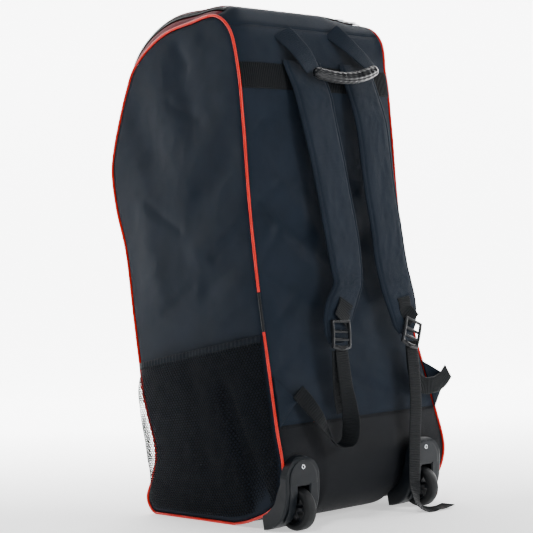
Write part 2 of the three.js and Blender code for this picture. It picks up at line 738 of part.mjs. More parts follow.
function addLid() {
  const from = seamAlong.lidRear + TRIM;
  const to = seamAlong.lidFront - TRIM;
  const stripColumns = [0, 0.5, 1];
  const span = (inset, z) => halfWidth(-1, z) + halfWidth(1, z) - inset;
  const acrossBody = span(EDGE_INSET, HEIGHT);
  addPart('lid_strip_left', gussetPanel({
    from,
    to,
    insetEnd: acrossBody - STRIP_WIDTH,
    columns: stripColumns,
  }), MAROON, 0.7);
  addPart('lid_strip_right', gussetPanel({
    from,
    to,
    inset: acrossBody - STRIP_WIDTH,
    insetEnd: EDGE_INSET,
    columns: stripColumns,
  }), MAROON, 0.7);
  const frame = toSolid(gussetPanel({ from, to, inset: zipOuter }));
  const opening = toSolid(gussetPanel({
    from: from + ZIP_WIDTH,
    to: to + ZIP_WIDTH,
    inset: zipInner,
    low: -FABRIC * 2,
    high: FABRIC * 2,
  }));
  addPart('lid_zip', toGeometry(frame.subtract(opening)), BLACK_WEBBING, 0.6);
  addPart('lid_flap', gussetPanel({
    from: from + ZIP_WIDTH - ZIP_COVER,
    to: to - TRIM,
    inset: lidInset,
    low: FABRIC / 2 + GAP,
    high: FABRIC / 2 + GAP + FABRIC,
    columns: FLAP_COLUMNS,
  }), MAROON, 0.7);
}

// Piping: a slim cord in the seam, along the outline points of a range of the ring.
function pipingSection(at, side) {
  const SIDES = 5;
  const section = [];
  const lift = seamLift(side, at);
  for (let j = 0; j < SIDES; j += 1) {
    const angle = (j * 2 * Math.PI) / SIDES;
    const rise = lift + Math.cos(angle) * PIPING_RADIUS;
    const x = side * (halfWidth(side, at.z) + Math.sin(angle) * PIPING_RADIUS);
    section.push(new THREE.Vector3(x, at.y + at.ny * rise, at.z + at.nz * rise));
  }
  return section;
}

function pipingGeometry(side, from, to) {
  return loftGeometry(stationsBetween(from, to).map((distance) => pipingSection(ringAt(distance), side)));
}

const HALVINGS = 40;

function backAlongAtHeight(height) {
  let [low, high] = [seamAlong.backSeam, seamAlong.topSeam];
  for (let i = 0; i < HALVINGS; i += 1) {
    const middle = (low + high) / 2;
    if (ringAt(middle).z < height) {
      low = middle;
    } else {
      high = middle;
    }
  }
  return (low + high) / 2;
}

const SPLICE_FOOT = 350;
const SPLICE_TOP = 420;

function addPiping() {
  const foot = backAlongAtHeight(SPLICE_FOOT);
  const top = backAlongAtHeight(SPLICE_TOP);
  addPart('piping_left', pipingGeometry(-1, top + TRIM, foot + ringLength - TRIM), RED, 0.4);
  addPart('piping_splice_left', pipingGeometry(-1, foot + TRIM, top - TRIM), BLACK_PLASTIC, 0.5);
  const loop = ring.map((p) => pipingSection(p, 1));
  addPart('piping_right', loftGeometry(loop, true), RED, 0.4);
}

// Side panels: a grid of points between the back, the top, the front and the base of the outline.
const backCount = seams.lidRear - seams.heel;
const topCount = seams.brow - seams.lidRear;
const toeCorner = ring.length - topCount;

function ringPoint(side, i) {
  const p = ring[((i % ring.length) + ring.length) % ring.length];
  const inset = EDGE_INSET + GAP / 3 - seamLift(side, p);
  return new THREE.Vector2(p.y - p.ny * inset, p.z - p.nz * inset);
}

// The inside points start evenly spread between rear and front, and are then evened out.
function buildSideGrid(side) {
  const PASSES = 300;
  const grid = [];
  for (let row = 0; row <= backCount; row += 1) {
    const rear = ringPoint(side, seams.heel + row);
    const front = ringPoint(side, toeCorner - row);
    const cells = [];
    for (let column = 0; column <= topCount; column += 1) {
      cells.push(rear.clone().lerp(front, column / topCount));
    }
    grid.push(cells);
  }
  for (let column = 0; column <= topCount; column += 1) {
    grid[0][column] = ringPoint(side, ring.length - column);
    grid[backCount][column] = ringPoint(side, seams.lidRear + column);
  }
  for (let pass = 0; pass < PASSES; pass += 1) {
    for (let row = 1; row < backCount; row += 1) {
      for (let column = 1; column < topCount; column += 1) {
        grid[row][column].copy(grid[row - 1][column]).add(grid[row + 1][column])
          .add(grid[row][column - 1]).add(grid[row][column + 1]).multiplyScalar(0.25);
      }
    }
  }
  return grid;
}

const leftGrid = buildSideGrid(-1);
const rightGrid = buildSideGrid(1);

function sidePlace(side, forward, up) {
  const grid = side < 0 ? leftGrid : rightGrid;
  const row = Math.min(backCount - 1, Math.floor(up * backCount));
  const column = Math.min(topCount - 1, Math.floor(forward * topCount));
  const across = forward * topCount - column;
  const low = grid[row][column].clone().lerp(grid[row][column + 1], across);
  const high = grid[row + 1][column].clone().lerp(grid[row + 1][column + 1], across);
  return low.lerp(high, up * backCount - row);
}

function sideDome(forward, up, place) {
  const across = Math.sin(Math.PI * forward) ** 0.7;
  const along = Math.sin(Math.PI * up) ** 0.5;
  const calm = Math.min(1, Math.max(0, (place.y - POCKET_BACK) / 60));
  const fold = foldHeight(SIDE_FOLDS, place.x, place.y, DEPTH) * across * calm;
  return SIDE_DOME * across * along + fold;
}

function sidePoint(side, forward, up, offset) {
  const place = sidePlace(side, forward, up);
  const x = halfWidth(side, place.y) + sideDome(forward, up, place) + offset;
  return new THREE.Vector3(side * x, place.x, place.y);
}

function addSidePanel(side, name) {
  const grid = (offset) => {
    const rows = [];
    for (let row = 0; row <= backCount; row += 1) {
      const cells = [];
      for (let column = 0; column <= topCount; column += 1) {
        cells.push(sidePoint(side, column / topCount, row / backCount, offset));
      }
      rows.push(cells);
    }
    return rows;
  };
  addPart(`side_panel_${name}`, wallGeometry(grid(FABRIC / 2), grid(-FABRIC / 2)), BLACK_CLOTH, 0.75);
}

// Net pocket: the low part of the side panel, standing off it, up to a hem that slopes down to the front.
function hemHeight(y) {
  const rear = ringAt(backAlongAtHeight(POCKET_BACK)).y;
  const front = OUTLINE.find((row) => row.place === 'pocket top').forward * DEPTH;
  return POCKET_BACK + ((POCKET_FRONT - POCKET_BACK) * (y - rear)) / (front - rear);
}

function hemShare(side, forward) {
  let [low, high] = [0, 1];
  for (let i = 0; i < HALVINGS; i += 1) {
    const middle = (low + high) / 2;
    const place = sidePlace(side, forward, middle);
    if (place.y < hemHeight(place.x)) {
      low = middle;
    } else {
      high = middle;
    }
  }
  return low;
}

function pocketBulge(forward, height) {
  const next = Math.max(1, POCKET_ROWS.findIndex((row) => row.up >= height));
  const [a, b] = [POCKET_ROWS[next - 1], POCKET_ROWS[next]];
  const t = (height - a.up) / (b.up - a.up);
  const mix = (key) => a[key] + (b[key] - a[key]) * t;
  const stops = [
    { forward: 0, bulge: 0 },
    { forward: 0.18, bulge: mix('rear') },
    { forward: 0.6, bulge: mix('middle') },
    { forward: 0.93, bulge: mix('nearFront') },
    { forward: 1, bulge: 0 },
  ];
  const j = Math.max(1, stops.findIndex((stop) => stop.forward >= forward));
  const share = (forward - stops[j - 1].forward) / (stops[j].forward - stops[j - 1].forward);
  return POCKET_BULGE * (stops[j - 1].bulge + (stops[j].bulge - stops[j - 1].bulge) * share);
}

const POCKET_COLUMNS = [0.012, 0.09, 0.18, 0.3, 0.45, 0.6, 0.72, 0.82, 0.89, 0.935, 0.965, 0.988];
const POCKET_HEIGHTS = [0.03, 0.14, 0.3, 0.45, 0.6, 0.72, 0.82, 0.9, 0.96];

function pocketPoint(side, forward, height, offset) {
  const mouth = Math.sin(Math.PI * forward) * MOUTH_GAP * height ** 6;
  const up = hemShare(side, forward) * height;
  const away = FABRIC / 2 + 1.5 * GAP + offset + pocketBulge(forward, height) + mouth;
  return sidePoint(side, forward, up, away);
}

function addPocket(side, name) {
  const net = (offset) => POCKET_HEIGHTS.map((height) => POCKET_COLUMNS
    .map((forward) => pocketPoint(side, forward, height, offset)));
  addPart(`pocket_net_${name}`, wallGeometry(net(NET), net(0)), BLACK_WEBBING, 0.8);
  const hemStart = POCKET_HEIGHTS[POCKET_HEIGHTS.length - 1];
  const hem = (offset) => [0, HEM_HEIGHT].map((rise) => POCKET_COLUMNS.map((forward) => {
    const foot = pocketPoint(side, forward, hemStart, offset);
    return foot.add(new THREE.Vector3(0, 0, rise + 2 * GAP));
  }));
  addPart(`pocket_hem_${name}`, wallGeometry(hem(HEM_THICKNESS), hem(0)), BLACK_CLOTH, 0.7);
}

// Places on and off the back panel

function backSurface(x, z, off) {
  const profile = crownProfile(Math.min(1, Math.abs(x) / halfWidth(Math.sign(x) || 1, z)));
  let [low, high] = [seamAlong.backSeam, seamAlong.lidRear];
  for (let i = 0; i < HALVINGS; i += 1) {
    const middle = (low + high) / 2;
    const at = ringAt(middle);
    if (at.z + at.nz * at.crown * profile < z) {
      low = middle;
    } else {
      high = middle;
    }
  }
  const at = ringAt(low);
  return new THREE.Vector3(x, at.y + at.ny * at.crown * profile - off, z);
}

function routePoint(row) {
  return backSurface(row.across * WIDTH, row.up * HEIGHT, FABRIC / 2 + row.out * STRAP_STANDOFF);
}

// Flat webbing along a smooth route. The width turns with the route's own turn column.
function webbingGeometry(route, width, thickness, steps) {
  const points = route.map(routePoint);
  const curve = new THREE.CatmullRomCurve3(points, false, 'centripetal');
  const sections = [];
  for (let i = 0; i <= steps; i += 1) {
    const t = i / steps;
    const centre = curve.getPoint(t);
    const tangent = curve.getTangent(t);
    const position = t * (route.length - 1);
    const k = Math.min(route.length - 2, Math.floor(position));
    const mix = (key, fallback) => {
      const from = route[k][key] ?? fallback;
      const to = route[k + 1][key] ?? fallback;
      return from + (to - from) * (position - k);
    };
    const turn = THREE.MathUtils.degToRad(mix('turn', 0));
    const outward = new THREE.Vector3(0, -1, 0).addScaledVector(tangent, tangent.y).normalize();
    const across = tangent.clone().cross(outward).normalize();
    const width3 = across.multiplyScalar(Math.cos(turn)).addScaledVector(outward, Math.sin(turn));
    const normal = width3.clone().cross(tangent).normalize();
    const half = (width * mix('wide', 1)) / 2;
    const corner = (u, v) => centre.clone()
      .addScaledVector(width3, u * half)
      .addScaledVector(normal, (v * thickness) / 2);
    sections.push([corner(-1, -1), corner(1, -1), corner(1, 1), corner(-1, 1)]);
  }
  return loftGeometry(sections);
}

function addBand() {
  addPart('back_band', gussetPanel({
    from: backAlongAtHeight(BAND_UP * HEIGHT),
    to: seamAlong.bandTop,
    low: FABRIC / 2 + GAP,
    high: FABRIC / 2 + GAP + WEBBING,
    columns: BACK_COLUMNS,
  }), BLACK_WEBBING, 0.7);
}

// A padded strap: a flat oval swept down its rows.
function strapGeometry(rows) {
  const SIDES = 8;
  const STEPS = 20;
  const across = new THREE.CatmullRomCurve3(
    rows.map((row) => new THREE.Vector3(row.across * WIDTH, row.off * STRAP_STANDOFF, row.up * HEIGHT)),
    false,
    'centripetal',
  );
  const sizes = new THREE.CatmullRomCurve3(
    rows.map((row) => new THREE.Vector3(row.wide * STRAP_WIDTH, row.thick * STRAP_THICKNESS, 0)),
    false,
    'centripetal',
  );
  const sections = [];
  for (let i = 0; i <= STEPS; i += 1) {
    const place = across.getPoint(i / STEPS);
    const size = sizes.getPoint(i / STEPS);
    const section = [];
    for (let j = 0; j < SIDES; j += 1) {
      const angle = ((j + 0.5) * 2 * Math.PI) / SIDES;
      const [c, s] = [Math.cos(angle), Math.sin(angle)];
      const u = Math.sign(c) * Math.abs(c) ** 0.45;
      const v = Math.sign(s) * Math.abs(s) ** 0.8;
      const off = FABRIC / 2 + place.y + (size.y / 2) * (1 + v);
      section.push(backSurface(place.x + (u * size.x) / 2, place.z, off));
    }
    sections.push(section);
  }
  return loftGeometry(sections);
}

// Ladder-lock buckle in its own frame: +Z up along the strap, -Y away from the bag, middle at the origin.
function buckleGeometry() {
  const half = BUCKLE_WIDTH / 2;
  const top = BUCKLE_HEIGHT / 2;
  const shape = new THREE.Shape();
  shape.moveTo(-half, top - BUCKLE_RAIL);
  shape.lineTo(-half + BUCKLE_RAIL, top);
  shape.lineTo(half - BUCKLE_RAIL, top);
  shape.lineTo(half, top - BUCKLE_RAIL);
  shape.lineTo(half, -top / 2);
  shape.quadraticCurveTo(half * 0.9, -top, 0, -top);
  shape.quadraticCurveTo(-half * 0.9, -top, -half, -top / 2);
  shape.closePath();
  for (const windowTop of [top - BUCKLE_BAR, top - 2 * BUCKLE_BAR - BUCKLE_WINDOW]) {
    const hole = new THREE.Path();
    const side = half - BUCKLE_RAIL;
    hole.moveTo(-side, windowTop);
    hole.lineTo(-side, windowTop - BUCKLE_WINDOW);
    hole.lineTo(side, windowTop - BUCKLE_WINDOW);
    hole.lineTo(side, windowTop);
    hole.closePath();
    shape.holes.push(hole);
  }
  const geometry = new THREE.ExtrudeGeometry(shape, {
    depth: BUCKLE_THICKNESS - 2,
    bevelThickness: 1,
    bevelSize: 1,
    bevelOffset: -1,
    bevelSegments: 1,
    curveSegments: 5,
  });
  geometry.translate(0, 0, 1 - BUCKLE_THICKNESS / 2);
  geometry.rotateX(Math.PI / 2);
  return geometry;
}

const BUCKLE_LEFT = { across: -0.134, up: 0.366, out: 1.60, tilt: 4, lean: 4 };
const BUCKLE_RIGHT = { across: 0.345, up: 0.358, out: 1.69, tilt: 22, lean: 4 };

function addStrap(name, rows, buckleRow) {
  addPart(`strap_${name}`, strapGeometry(rows), BLACK_CLOTH, 0.7);
  const buckle = addPart(`buckle_${name}`, buckleGeometry(), BLACK_PLASTIC, 0.3);
  const place = routePoint(buckleRow);
  buckle.position.copy(place);
  buckle.rotation.set(
    THREE.MathUtils.degToRad(-buckleRow.lean),
    THREE.MathUtils.degToRad(buckleRow.tilt),
    0,
    'YXZ',
  );
}

// A tab folded of cloth: a three-cornered plate from the seam out to its point.
function tabGeometry(corners) {
  const [a, b, c] = corners;
  const normal = b.clone().sub(a).cross(c.clone().sub(a)).normalize().multiplyScalar(TAB_THICKNESS / 2);
  const top = corners.map((p) => p.clone().add(normal));
  const bottom = corners.map((p) => p.clone().sub(normal));
  return loftGeometry([top, bottom]);
}

function addTabs() {
  const off = FABRIC / 2 + GAP + TAB_THICKNESS / 2;
  const root = (side, height) => {
    const x = side * (halfWidth(side, height) - TAB_INSET);
    return backSurface(x, height, off + 3 * GAP);
  };
  addPart('tab_left', tabGeometry([
    root(-1, TAB_TOP),
    root(-1, TAB_FOOT),
    backSurface(-WIDTH / 2 + TAB_REACH, TAB_POINT, off + TAB_LIFT),
  ]), BLACK_CLOTH, 0.7);
  const rightReach = halfWidth(1, TAB_POINT) + RIGHT_TAB_REACH;
  addPart('tab_right', tabGeometry([
    root(1, TAB_TOP),
    root(1, TAB_FOOT),
    backSurface(rightReach, TAB_POINT + RIGHT_TAB_RISE, off + RIGHT_TAB_LIFT),
  ]), BLACK_CLOTH, 0.7);
}

function addWebbing() {
  const wide = WEBBING_WIDTH;
  addPart('webbing_loop_left', webbingGeometry(LOOP_LEFT, wide, WEBBING, 20), BLACK_WEBBING, 0.7);
  addPart('webbing_tail_left', webbingGeometry(TAIL_LEFT, wide, WEBBING, 5), BLACK_WEBBING, 0.7);
  addPart('webbing_tail_right', webbingGeometry(TAIL_RIGHT, wide, WEBBING, 18), BLACK_WEBBING, 0.7);
  addPart('webbing_link_right', webbingGeometry(LINK_RIGHT, wide, WEBBING, 8), BLACK_WEBBING, 0.7);
}

function gripGeometry(grow = 0) {
  const SIDES = 10;
  const STEPS = 12;
  const path = new THREE.CatmullRomCurve3(GRIP_ROWS.map(routePoint), false, 'centripetal');
  const sections = [];
  for (let i = 0; i <= STEPS; i += 1) {
    const t = i / STEPS;
    const centre = path.getPoint(t);
    const tangent = path.getTangent(t);
    const position = t * (GRIP_ROWS.length - 1);
    const k = Math.min(GRIP_ROWS.length - 2, Math.floor(position));
    const girth = GRIP_ROWS[k].girth + (GRIP_ROWS[k + 1].girth - GRIP_ROWS[k].girth) * (position - k);
    const outward = new THREE.Vector3(0, -1, 0).addScaledVector(tangent, tangent.y).normalize();
    const upward = outward.clone().cross(tangent).normalize();
    const section = [];
    const outwards = (i === STEPS) - (i === 0);
    for (let j = 0; j < SIDES; j += 1) {
      const angle = ((j + 0.5) * 2 * Math.PI) / SIDES;
      section.push(centre.clone()
        .addScaledVector(tangent, outwards * grow)
        .addScaledVector(upward, Math.cos(angle) * ((GRIP_HEIGHT * girth) / 2 + grow))
        .addScaledVector(outward, Math.sin(angle) * ((GRIP_DEPTH * girth) / 2 + grow)));
    }
    sections.push(section);
  }
  return loftGeometry(sections);
}

// Each leg runs from the top of the back into an end of the grip.
function addHandle() {
  const room = toSolid(gripGeometry(GAP * 1.4)).add(toSolid(gussetPanel({
    from: backAlongAtHeight(BAND_UP * HEIGHT),
    to: seamAlong.lidRear,
    low: -STRAP_STANDOFF,
    high: FABRIC / 2 + GAP,
    columns: BACK_COLUMNS,
  })));
  const leg = (route) => {
    const strip = toSolid(webbingGeometry(route, HANDLE_WIDTH, HANDLE_THICKNESS, 8));
    const pieces = strip.subtract(room).decompose();
    pieces.sort((a, b) => b.volume() - a.volume());
    return toGeometry(pieces[0]);
  };
  addPart('handle_leg_left', leg(HANDLE_LEFT), BLACK_WEBBING, 0.7);
  addPart('handle_leg_right', leg(HANDLE_RIGHT), BLACK_WEBBING, 0.7);
  addPart('handle_grip', gripGeometry(), BLACK_PLASTIC, 0.35);
}

// Wheel housings

function ringOffsetShape(offset) {
  const shape = new THREE.Shape();
  ring.forEach((p, i) => {
    const point = [p.y + p.ny * offset, p.z + p.nz * offset];
    if (i === 0) {
      shape.moveTo(...point);
    } else {
      shape.lineTo(...point);
    }
  });
  shape.closePath();
  return shape;
}

// A shape drawn in the side view, pushed out across the body about a middle.
function acrossSolid(shape, middle, width, bevel) {
  const geometry = new THREE.ExtrudeGeometry(shape, {
    depth: width - 2 * bevel,
    bevelEnabled: bevel > 0,
    bevelThickness: bevel,
    bevelSize: bevel,
    bevelOffset: -bevel,
    bevelSegments: 2,
    curveSegments: 6,
  });
  geometry.applyMatrix4(new THREE.Matrix4().makeBasis(
    new THREE.Vector3(0, 1, 0),
    new THREE.Vector3(0, 0, 1),
    new THREE.Vector3(1, 0, 0),
  ));
  geometry.translate(middle - width / 2 + bevel, 0, 0);
  return toSolid(geometry);
}

function housingProfile() {
  const back = -HOUSING_BACK;
  const chin = back + HOUSING_CHIN;
  const shape = new THREE.Shape();
  shape.moveTo(back + HOUSING_ROUND, HOUSING_TOP);
  shape.quadraticCurveTo(back, HOUSING_TOP, back, HOUSING_TOP - HOUSING_ROUND);
  shape.lineTo(back, HOUSING_KNEE);
  shape.quadraticCurveTo(back, 2 * HOUSING_CHIN, chin, HOUSING_CHIN);
  shape.quadraticCurveTo(chin + 0.8 * HOUSING_CHIN, SEAT_HEIGHT, back + HOUSING_WRAP, 2 * SOLE_CLEARANCE);
  shape.lineTo(back + HOUSING_WRAP + HOUSING_EDGE, HOUSING_CHIN);
  shape.lineTo(back + HOUSING_SKIN, HOUSING_TOP);
  shape.closePath();
  return shape;
}

function ovalSolid(x) {
  const radius = HOUSING_WIDTH / 2;
  const shape = new THREE.Shape();
  shape.moveTo(-radius, -radius);
  shape.lineTo(radius, -radius);
  shape.lineTo(radius, HOUSING_TOP - radius);
  shape.absarc(0, HOUSING_TOP - radius, radius, 0, Math.PI, false);
  shape.closePath();
  const settings = { depth: 2 * HOUSING_WRAP, bevelEnabled: false, curveSegments: 12 };
  const geometry = new THREE.ExtrudeGeometry(shape, settings);
  geometry.rotateX(Math.PI / 2);
  geometry.translate(x, -HOUSING_BACK + 1.5 * HOUSING_WRAP, 0);
  return toSolid(geometry);
}

// The body with its cloth, which the housings are fitted round
function bodySolid() {
  const inside = acrossSolid(ringOffsetShape(EDGE_INSET + GAP), 0, 2 * (WIDTH / 2 + FLARE), 0);
  const heel = toSolid(gussetPanel({
    from: seamAlong.toeSeam + ringLength * 0.1,
    to: endAlong,
    low: -HOUSING_WIDTH / 2,
    high: FABRIC / 2 + GAP,
    columns: BASE_COLUMNS,
  }));
  return inside.add(heel);
}

function addWheel({ name, x }, wellCut, wellOuter) {
  const body = bodySolid();
  const skin = acrossSolid(housingProfile(), x, HOUSING_WIDTH, HOUSING_EDGE).intersect(ovalSolid(x));
  const aboveFloor = boxSolid(
    new THREE.Vector3(-WIDTH, -DEPTH, SOLE_CLEARANCE),
    new THREE.Vector3(WIDTH, DEPTH, HEIGHT),
  );
  const shell = wellOuter.intersect(body).intersect(aboveFloor);
  const slotHalf = WHEEL_WIDTH / 2 + WELL_SIDE_CLEARANCE;
  const slot = boxSolid(
    new THREE.Vector3(x - slotHalf, -DEPTH, -HOUSING_EDGE),
    new THREE.Vector3(x + slotHalf, -AXLE_BACK, WHEEL_DIAMETER + WELL_CLEARANCE),
  );
  const foot = boxSolid(
    new THREE.Vector3(x - slotHalf, -DEPTH, -HOUSING_EDGE),
    new THREE.Vector3(x + slotHalf, -AXLE_BACK + WHEEL_DIAMETER / 2 + WELL_CLEARANCE, axleZ),
  );
  const axle = new THREE.Vector3(x, -AXLE_BACK, axleZ);
  const axleLength = WHEEL_WIDTH + 2 * (WELL_SIDE_CLEARANCE + WELL_WALL);
  const boreRadius = AXLE_DIAMETER / 2 + BORE_CLEARANCE;
  const bore = toSolid(crossCylinder(boreRadius, axleLength + 4 * WELL_WALL, axle, 12));
  const rivetHole = RIVET_RADIUS * 0.5;
  const rivetBore = new THREE.CylinderGeometry(rivetHole, rivetHole, 2 * RIVET_SHANK + 2, 10);
  rivetBore.translate(x, -HOUSING_BACK, RIVET_HEIGHT);
  const room = wellCut.add(slot).add(foot).add(bore).add(toSolid(rivetBore));
  const housing = skin.add(shell).subtract(body.subtract(wellOuter)).subtract(room);
  addPart(`wheel_housing_${name}`, toGeometry(housing), GREY_PLASTIC, 0.4);
  addPart(`axle_${name}`, crossCylinder(AXLE_DIAMETER / 2, axleLength, axle, 12), STEEL, 0.4, 0.9);
  const wheel = addPart(`wheel_${name}`, wheelGeometry(), BLACK_PLASTIC, 0.4);
  wheel.position.copy(axle);
  const rivet = addPart(`rivet_${name}`, rivetGeometry(), STEEL, 0.25, 1);
  rivet.position.set(x, -HOUSING_BACK, RIVET_HEIGHT);
}

function wheelGeometry() {
  const half = WHEEL_WIDTH / 2;
  const outer = WHEEL_DIAMETER / 2;
  const bore = AXLE_DIAMETER / 2 + BORE_CLEARANCE;
  const hub = bore + HUB_WALL;
  const rim = outer - RIM_DEPTH;
  const side = [
    [bore, half],
    [hub, half],
    [hub + WEB_RECESS / 4, half - WEB_RECESS],
    [rim - WEB_RECESS / 2, half - WEB_RECESS],
    [rim, half],
    [outer - WHEEL_CHAMFER, half],
    [outer, half - WHEEL_CHAMFER],
  ];
  const profile = side.map(([r, h]) => new THREE.Vector2(r, -h))
    .concat(side.map(([r, h]) => new THREE.Vector2(r, h)).reverse());
  profile.push(profile[0].clone());
  const geometry = new THREE.LatheGeometry(profile, 16);
  geometry.rotateZ(Math.PI / 2);
  return geometry;
}

function rivetGeometry() {
  const hole = RIVET_RADIUS * 0.25;
  const profile = [
    new THREE.Vector2(hole, -RIVET_SHANK),
    new THREE.Vector2(RIVET_RADIUS * 0.4, -RIVET_SHANK),
    new THREE.Vector2(RIVET_RADIUS * 0.4, GAP),
    new THREE.Vector2(RIVET_RADIUS, GAP),
    new THREE.Vector2(RIVET_RADIUS * 0.8, GAP + RIVET_HEAD),
    new THREE.Vector2(hole, GAP + RIVET_HEAD * 0.6),
    new THREE.Vector2(hole, -RIVET_SHANK),
  ];
  const geometry = new THREE.LatheGeometry(profile, 10);
  geometry.rotateX(Math.PI);
  return geometry;
}

// Zip slider and its pull on the rear run of the zip

function addSlider() {
  const distance = seamAlong.lidRear + TRIM + (ZIP_WIDTH - ZIP_COVER) / 2;
  const at = ringAt(distance);
  const seat = gussetPoint(distance, SLIDER_ACROSS, FABRIC / 2 + 2 * GAP);
  const length = Math.hypot(at.ny, at.nz);
  const up = new THREE.Vector3(0, at.ny / length, at.nz / length);
  const across = new THREE.Vector3(1, 0, 0);
  const forward = up.clone().cross(across);
  const basis = new THREE.Matrix4().makeBasis(across, forward, up).setPosition(seat);
  const body = new THREE.BoxGeometry(SLIDER_LENGTH, SLIDER_WIDTH, SLIDER_THICKNESS);
  body.translate(0, 0, SLIDER_THICKNESS / 2);
  body.applyMatrix4(basis);
  addPart('zip_slider', body, STEEL, 0.25, 1);
  const pull = new THREE.BoxGeometry(PULL_LENGTH, PULL_WIDTH, PULL_THICKNESS);
  const turn = THREE.MathUtils.degToRad(PULL_TURN);
  pull.translate(PULL_LENGTH / 2, 0, PULL_THICKNESS / 2);
  pull.rotateZ(-turn);
  pull.translate(SLIDER_LENGTH / 2 + GAP + (PULL_WIDTH / 2) * Math.sin(turn), 0, 0);
  pull.applyMatrix4(basis);
  addPart('zip_pull', pull, STEEL, 0.3, 1);
}

addBodyPanels();
addLid();
addPiping();
for (const { side, name } of housings) {
  addSidePanel(side, name);
  addPocket(side, name);
}
addBand();
addStrap('left', STRAP_LEFT, BUCKLE_LEFT);
addStrap('right', STRAP_RIGHT, BUCKLE_RIGHT);
addTabs();
addWebbing();
addHandle();
const wellCuts = wellSolid(0);
const wellShells = wellSolid(WELL_WALL);
housings.forEach((housing, i) => addWheel(housing, wellCuts[i], wellShells[i]));
addSlider();

export default group;
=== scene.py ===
# A wheeled kit bag standing upright on its base and its two wheels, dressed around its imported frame.
import math

import bmesh
import bpy
import numpy as np
from mathutils import Matrix, Vector, noise


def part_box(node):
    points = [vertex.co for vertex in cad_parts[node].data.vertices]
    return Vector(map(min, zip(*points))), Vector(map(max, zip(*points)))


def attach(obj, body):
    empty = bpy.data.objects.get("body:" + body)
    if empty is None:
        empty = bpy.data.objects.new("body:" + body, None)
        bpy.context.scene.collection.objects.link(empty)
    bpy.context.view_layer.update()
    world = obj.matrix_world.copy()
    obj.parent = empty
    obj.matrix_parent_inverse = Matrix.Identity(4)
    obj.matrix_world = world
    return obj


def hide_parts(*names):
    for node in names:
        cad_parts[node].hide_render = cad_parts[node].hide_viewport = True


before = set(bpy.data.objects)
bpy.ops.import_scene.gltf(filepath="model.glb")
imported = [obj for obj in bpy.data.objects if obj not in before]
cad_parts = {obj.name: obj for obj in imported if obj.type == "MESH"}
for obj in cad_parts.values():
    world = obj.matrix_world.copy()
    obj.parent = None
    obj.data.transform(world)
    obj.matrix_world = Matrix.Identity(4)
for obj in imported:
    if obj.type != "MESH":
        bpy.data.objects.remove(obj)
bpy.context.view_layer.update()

# Driving sizes of the body, in metres
WIDTH = 0.390
HEIGHT = 0.920
DEPTH = 0.450
CROWN = 0.040
CROWN_POWER = 5
CROWN_EASE = 1.6
SIDE_DOME = 0.009
FOLD_HEIGHT = 0.009
FLARE = 0.040
FLARE_HEIGHT = 0.090
FLARE_REACH = 0.270
FLARE_POWER = 1.5
SEAT_HEIGHT = 0.003
SEAT_CROWN = 0.002
MM = 0.001

# The right rear corner of the top stands up, and the cloth beside the lid's corner is sunk.
CORNER_LIFT = 0.009
CORNER_REACH = 0.115
CORNER_POWER = 14
CORNER_FULL = 1.025
CORNER_DENT = 0.007
DENT_ACROSS = 0.150
DENT_REACH = 0.034

# Cloth and trim
FABRIC = 0.002
PIPING_RADIUS = 0.0025
GAP = 0.0003
WEBBING = 0.0016
WEBBING_WIDTH = 0.032
RIB_PITCH = 0.0045
RIB_HEIGHT = 0.0005
EDGE_INSET = PIPING_RADIUS + GAP
EDGE_DIP = 0.0016
EDGE_REACH = 0.004
ZIP_WIDTH = 0.013
ZIP_COVER = 0.004
STRIP_WIDTH = 0.013
BAND_FOOT = 0.852 * HEIGHT
SPLICE_FOOT = 0.350
SPLICE_TOP = 0.420
STRAP_WIDTH = 0.090
STRAP_THICKNESS = 0.013
STRAP_STANDOFF = 0.026
HANDLE_WIDTH = 0.044
HANDLE_THICKNESS = 0.0024
GRIP_HEIGHT = 0.022
GRIP_DEPTH = 0.018
TAB_FOOT = 0.182
TAB_TOP = 0.272
TAB_POINT = 0.226
TAB_REACH = 0.046
TAB_INSET = 0.004
POCKET_BACK = 0.346
POCKET_FRONT = 0.286
POCKET_BULGE = 0.046
MOUTH_GAP = 0.007
HEM_HEIGHT = 0.012
HEM_THICKNESS = 0.002
NET_ACROSS = 0.0062
NET_UP = 0.0047
NET_THREAD = 0.0011
NET_HOLE = 0.62
HOUSING_WIDTH = 0.082
HOUSING_TOP = 0.132
HOUSING_BACK = 0.208
RIVET_HEIGHT = 0.113


def columns(names, rows):
    """A table as one array for each named column."""
    return dict(zip(names.split(), np.array(rows, float).T))


def rows_of(table):
    return [dict(zip(table, values)) for values in zip(*table.values())]


# Side view of the seam line: forward is a share of DEPTH, up of HEIGHT, crown of CROWN.
OUTLINE = columns("forward up crown", [
    (-0.382, 0.055, 0.25), (-0.424, 0.110, 0.10), (-0.398, 0.195, 0.08), (-0.371, 0.289, 0.12),
    (-0.324, 0.455, 0.14), (-0.289, 0.630, 0.14), (-0.271, 0.789, 0.14), (-0.251, 0.897, 0.14),
    (-0.209, 0.970, 0.20), (-0.129, 1.000, 0.42), (0.027, 0.996, 0.66), (0.187, 0.985, 0.90),
    (0.312, 0.958, 1.00), (0.406, 0.923, 0.86), (0.456, 0.882, 0.40), (0.506, 0.829, 0.32),
    (0.563, 0.753, 0.34), (0.576, 0.717, 0.36), (0.556, 0.640, 0.30), (0.502, 0.551, 0.20),
    (0.462, 0.403, 0.16), (0.436, 0.311, 0.14), (0.422, 0.251, 0.14), (0.393, 0.203, 0.12),
    (0.350, 0.130, 0.08), (0.378, 0.078, 0.06), (0.418, 0.032, 0.04), (0.385, 0.007, 0.04),
    (0.310, 0.003, 0.05), (-0.110, 0.003, 0.05), (-0.190, 0.009, 0.10), (-0.256, 0.019, 0.26),
    (-0.329, 0.034, 0.32),
])
POCKET_TOP_FORWARD = 0.436

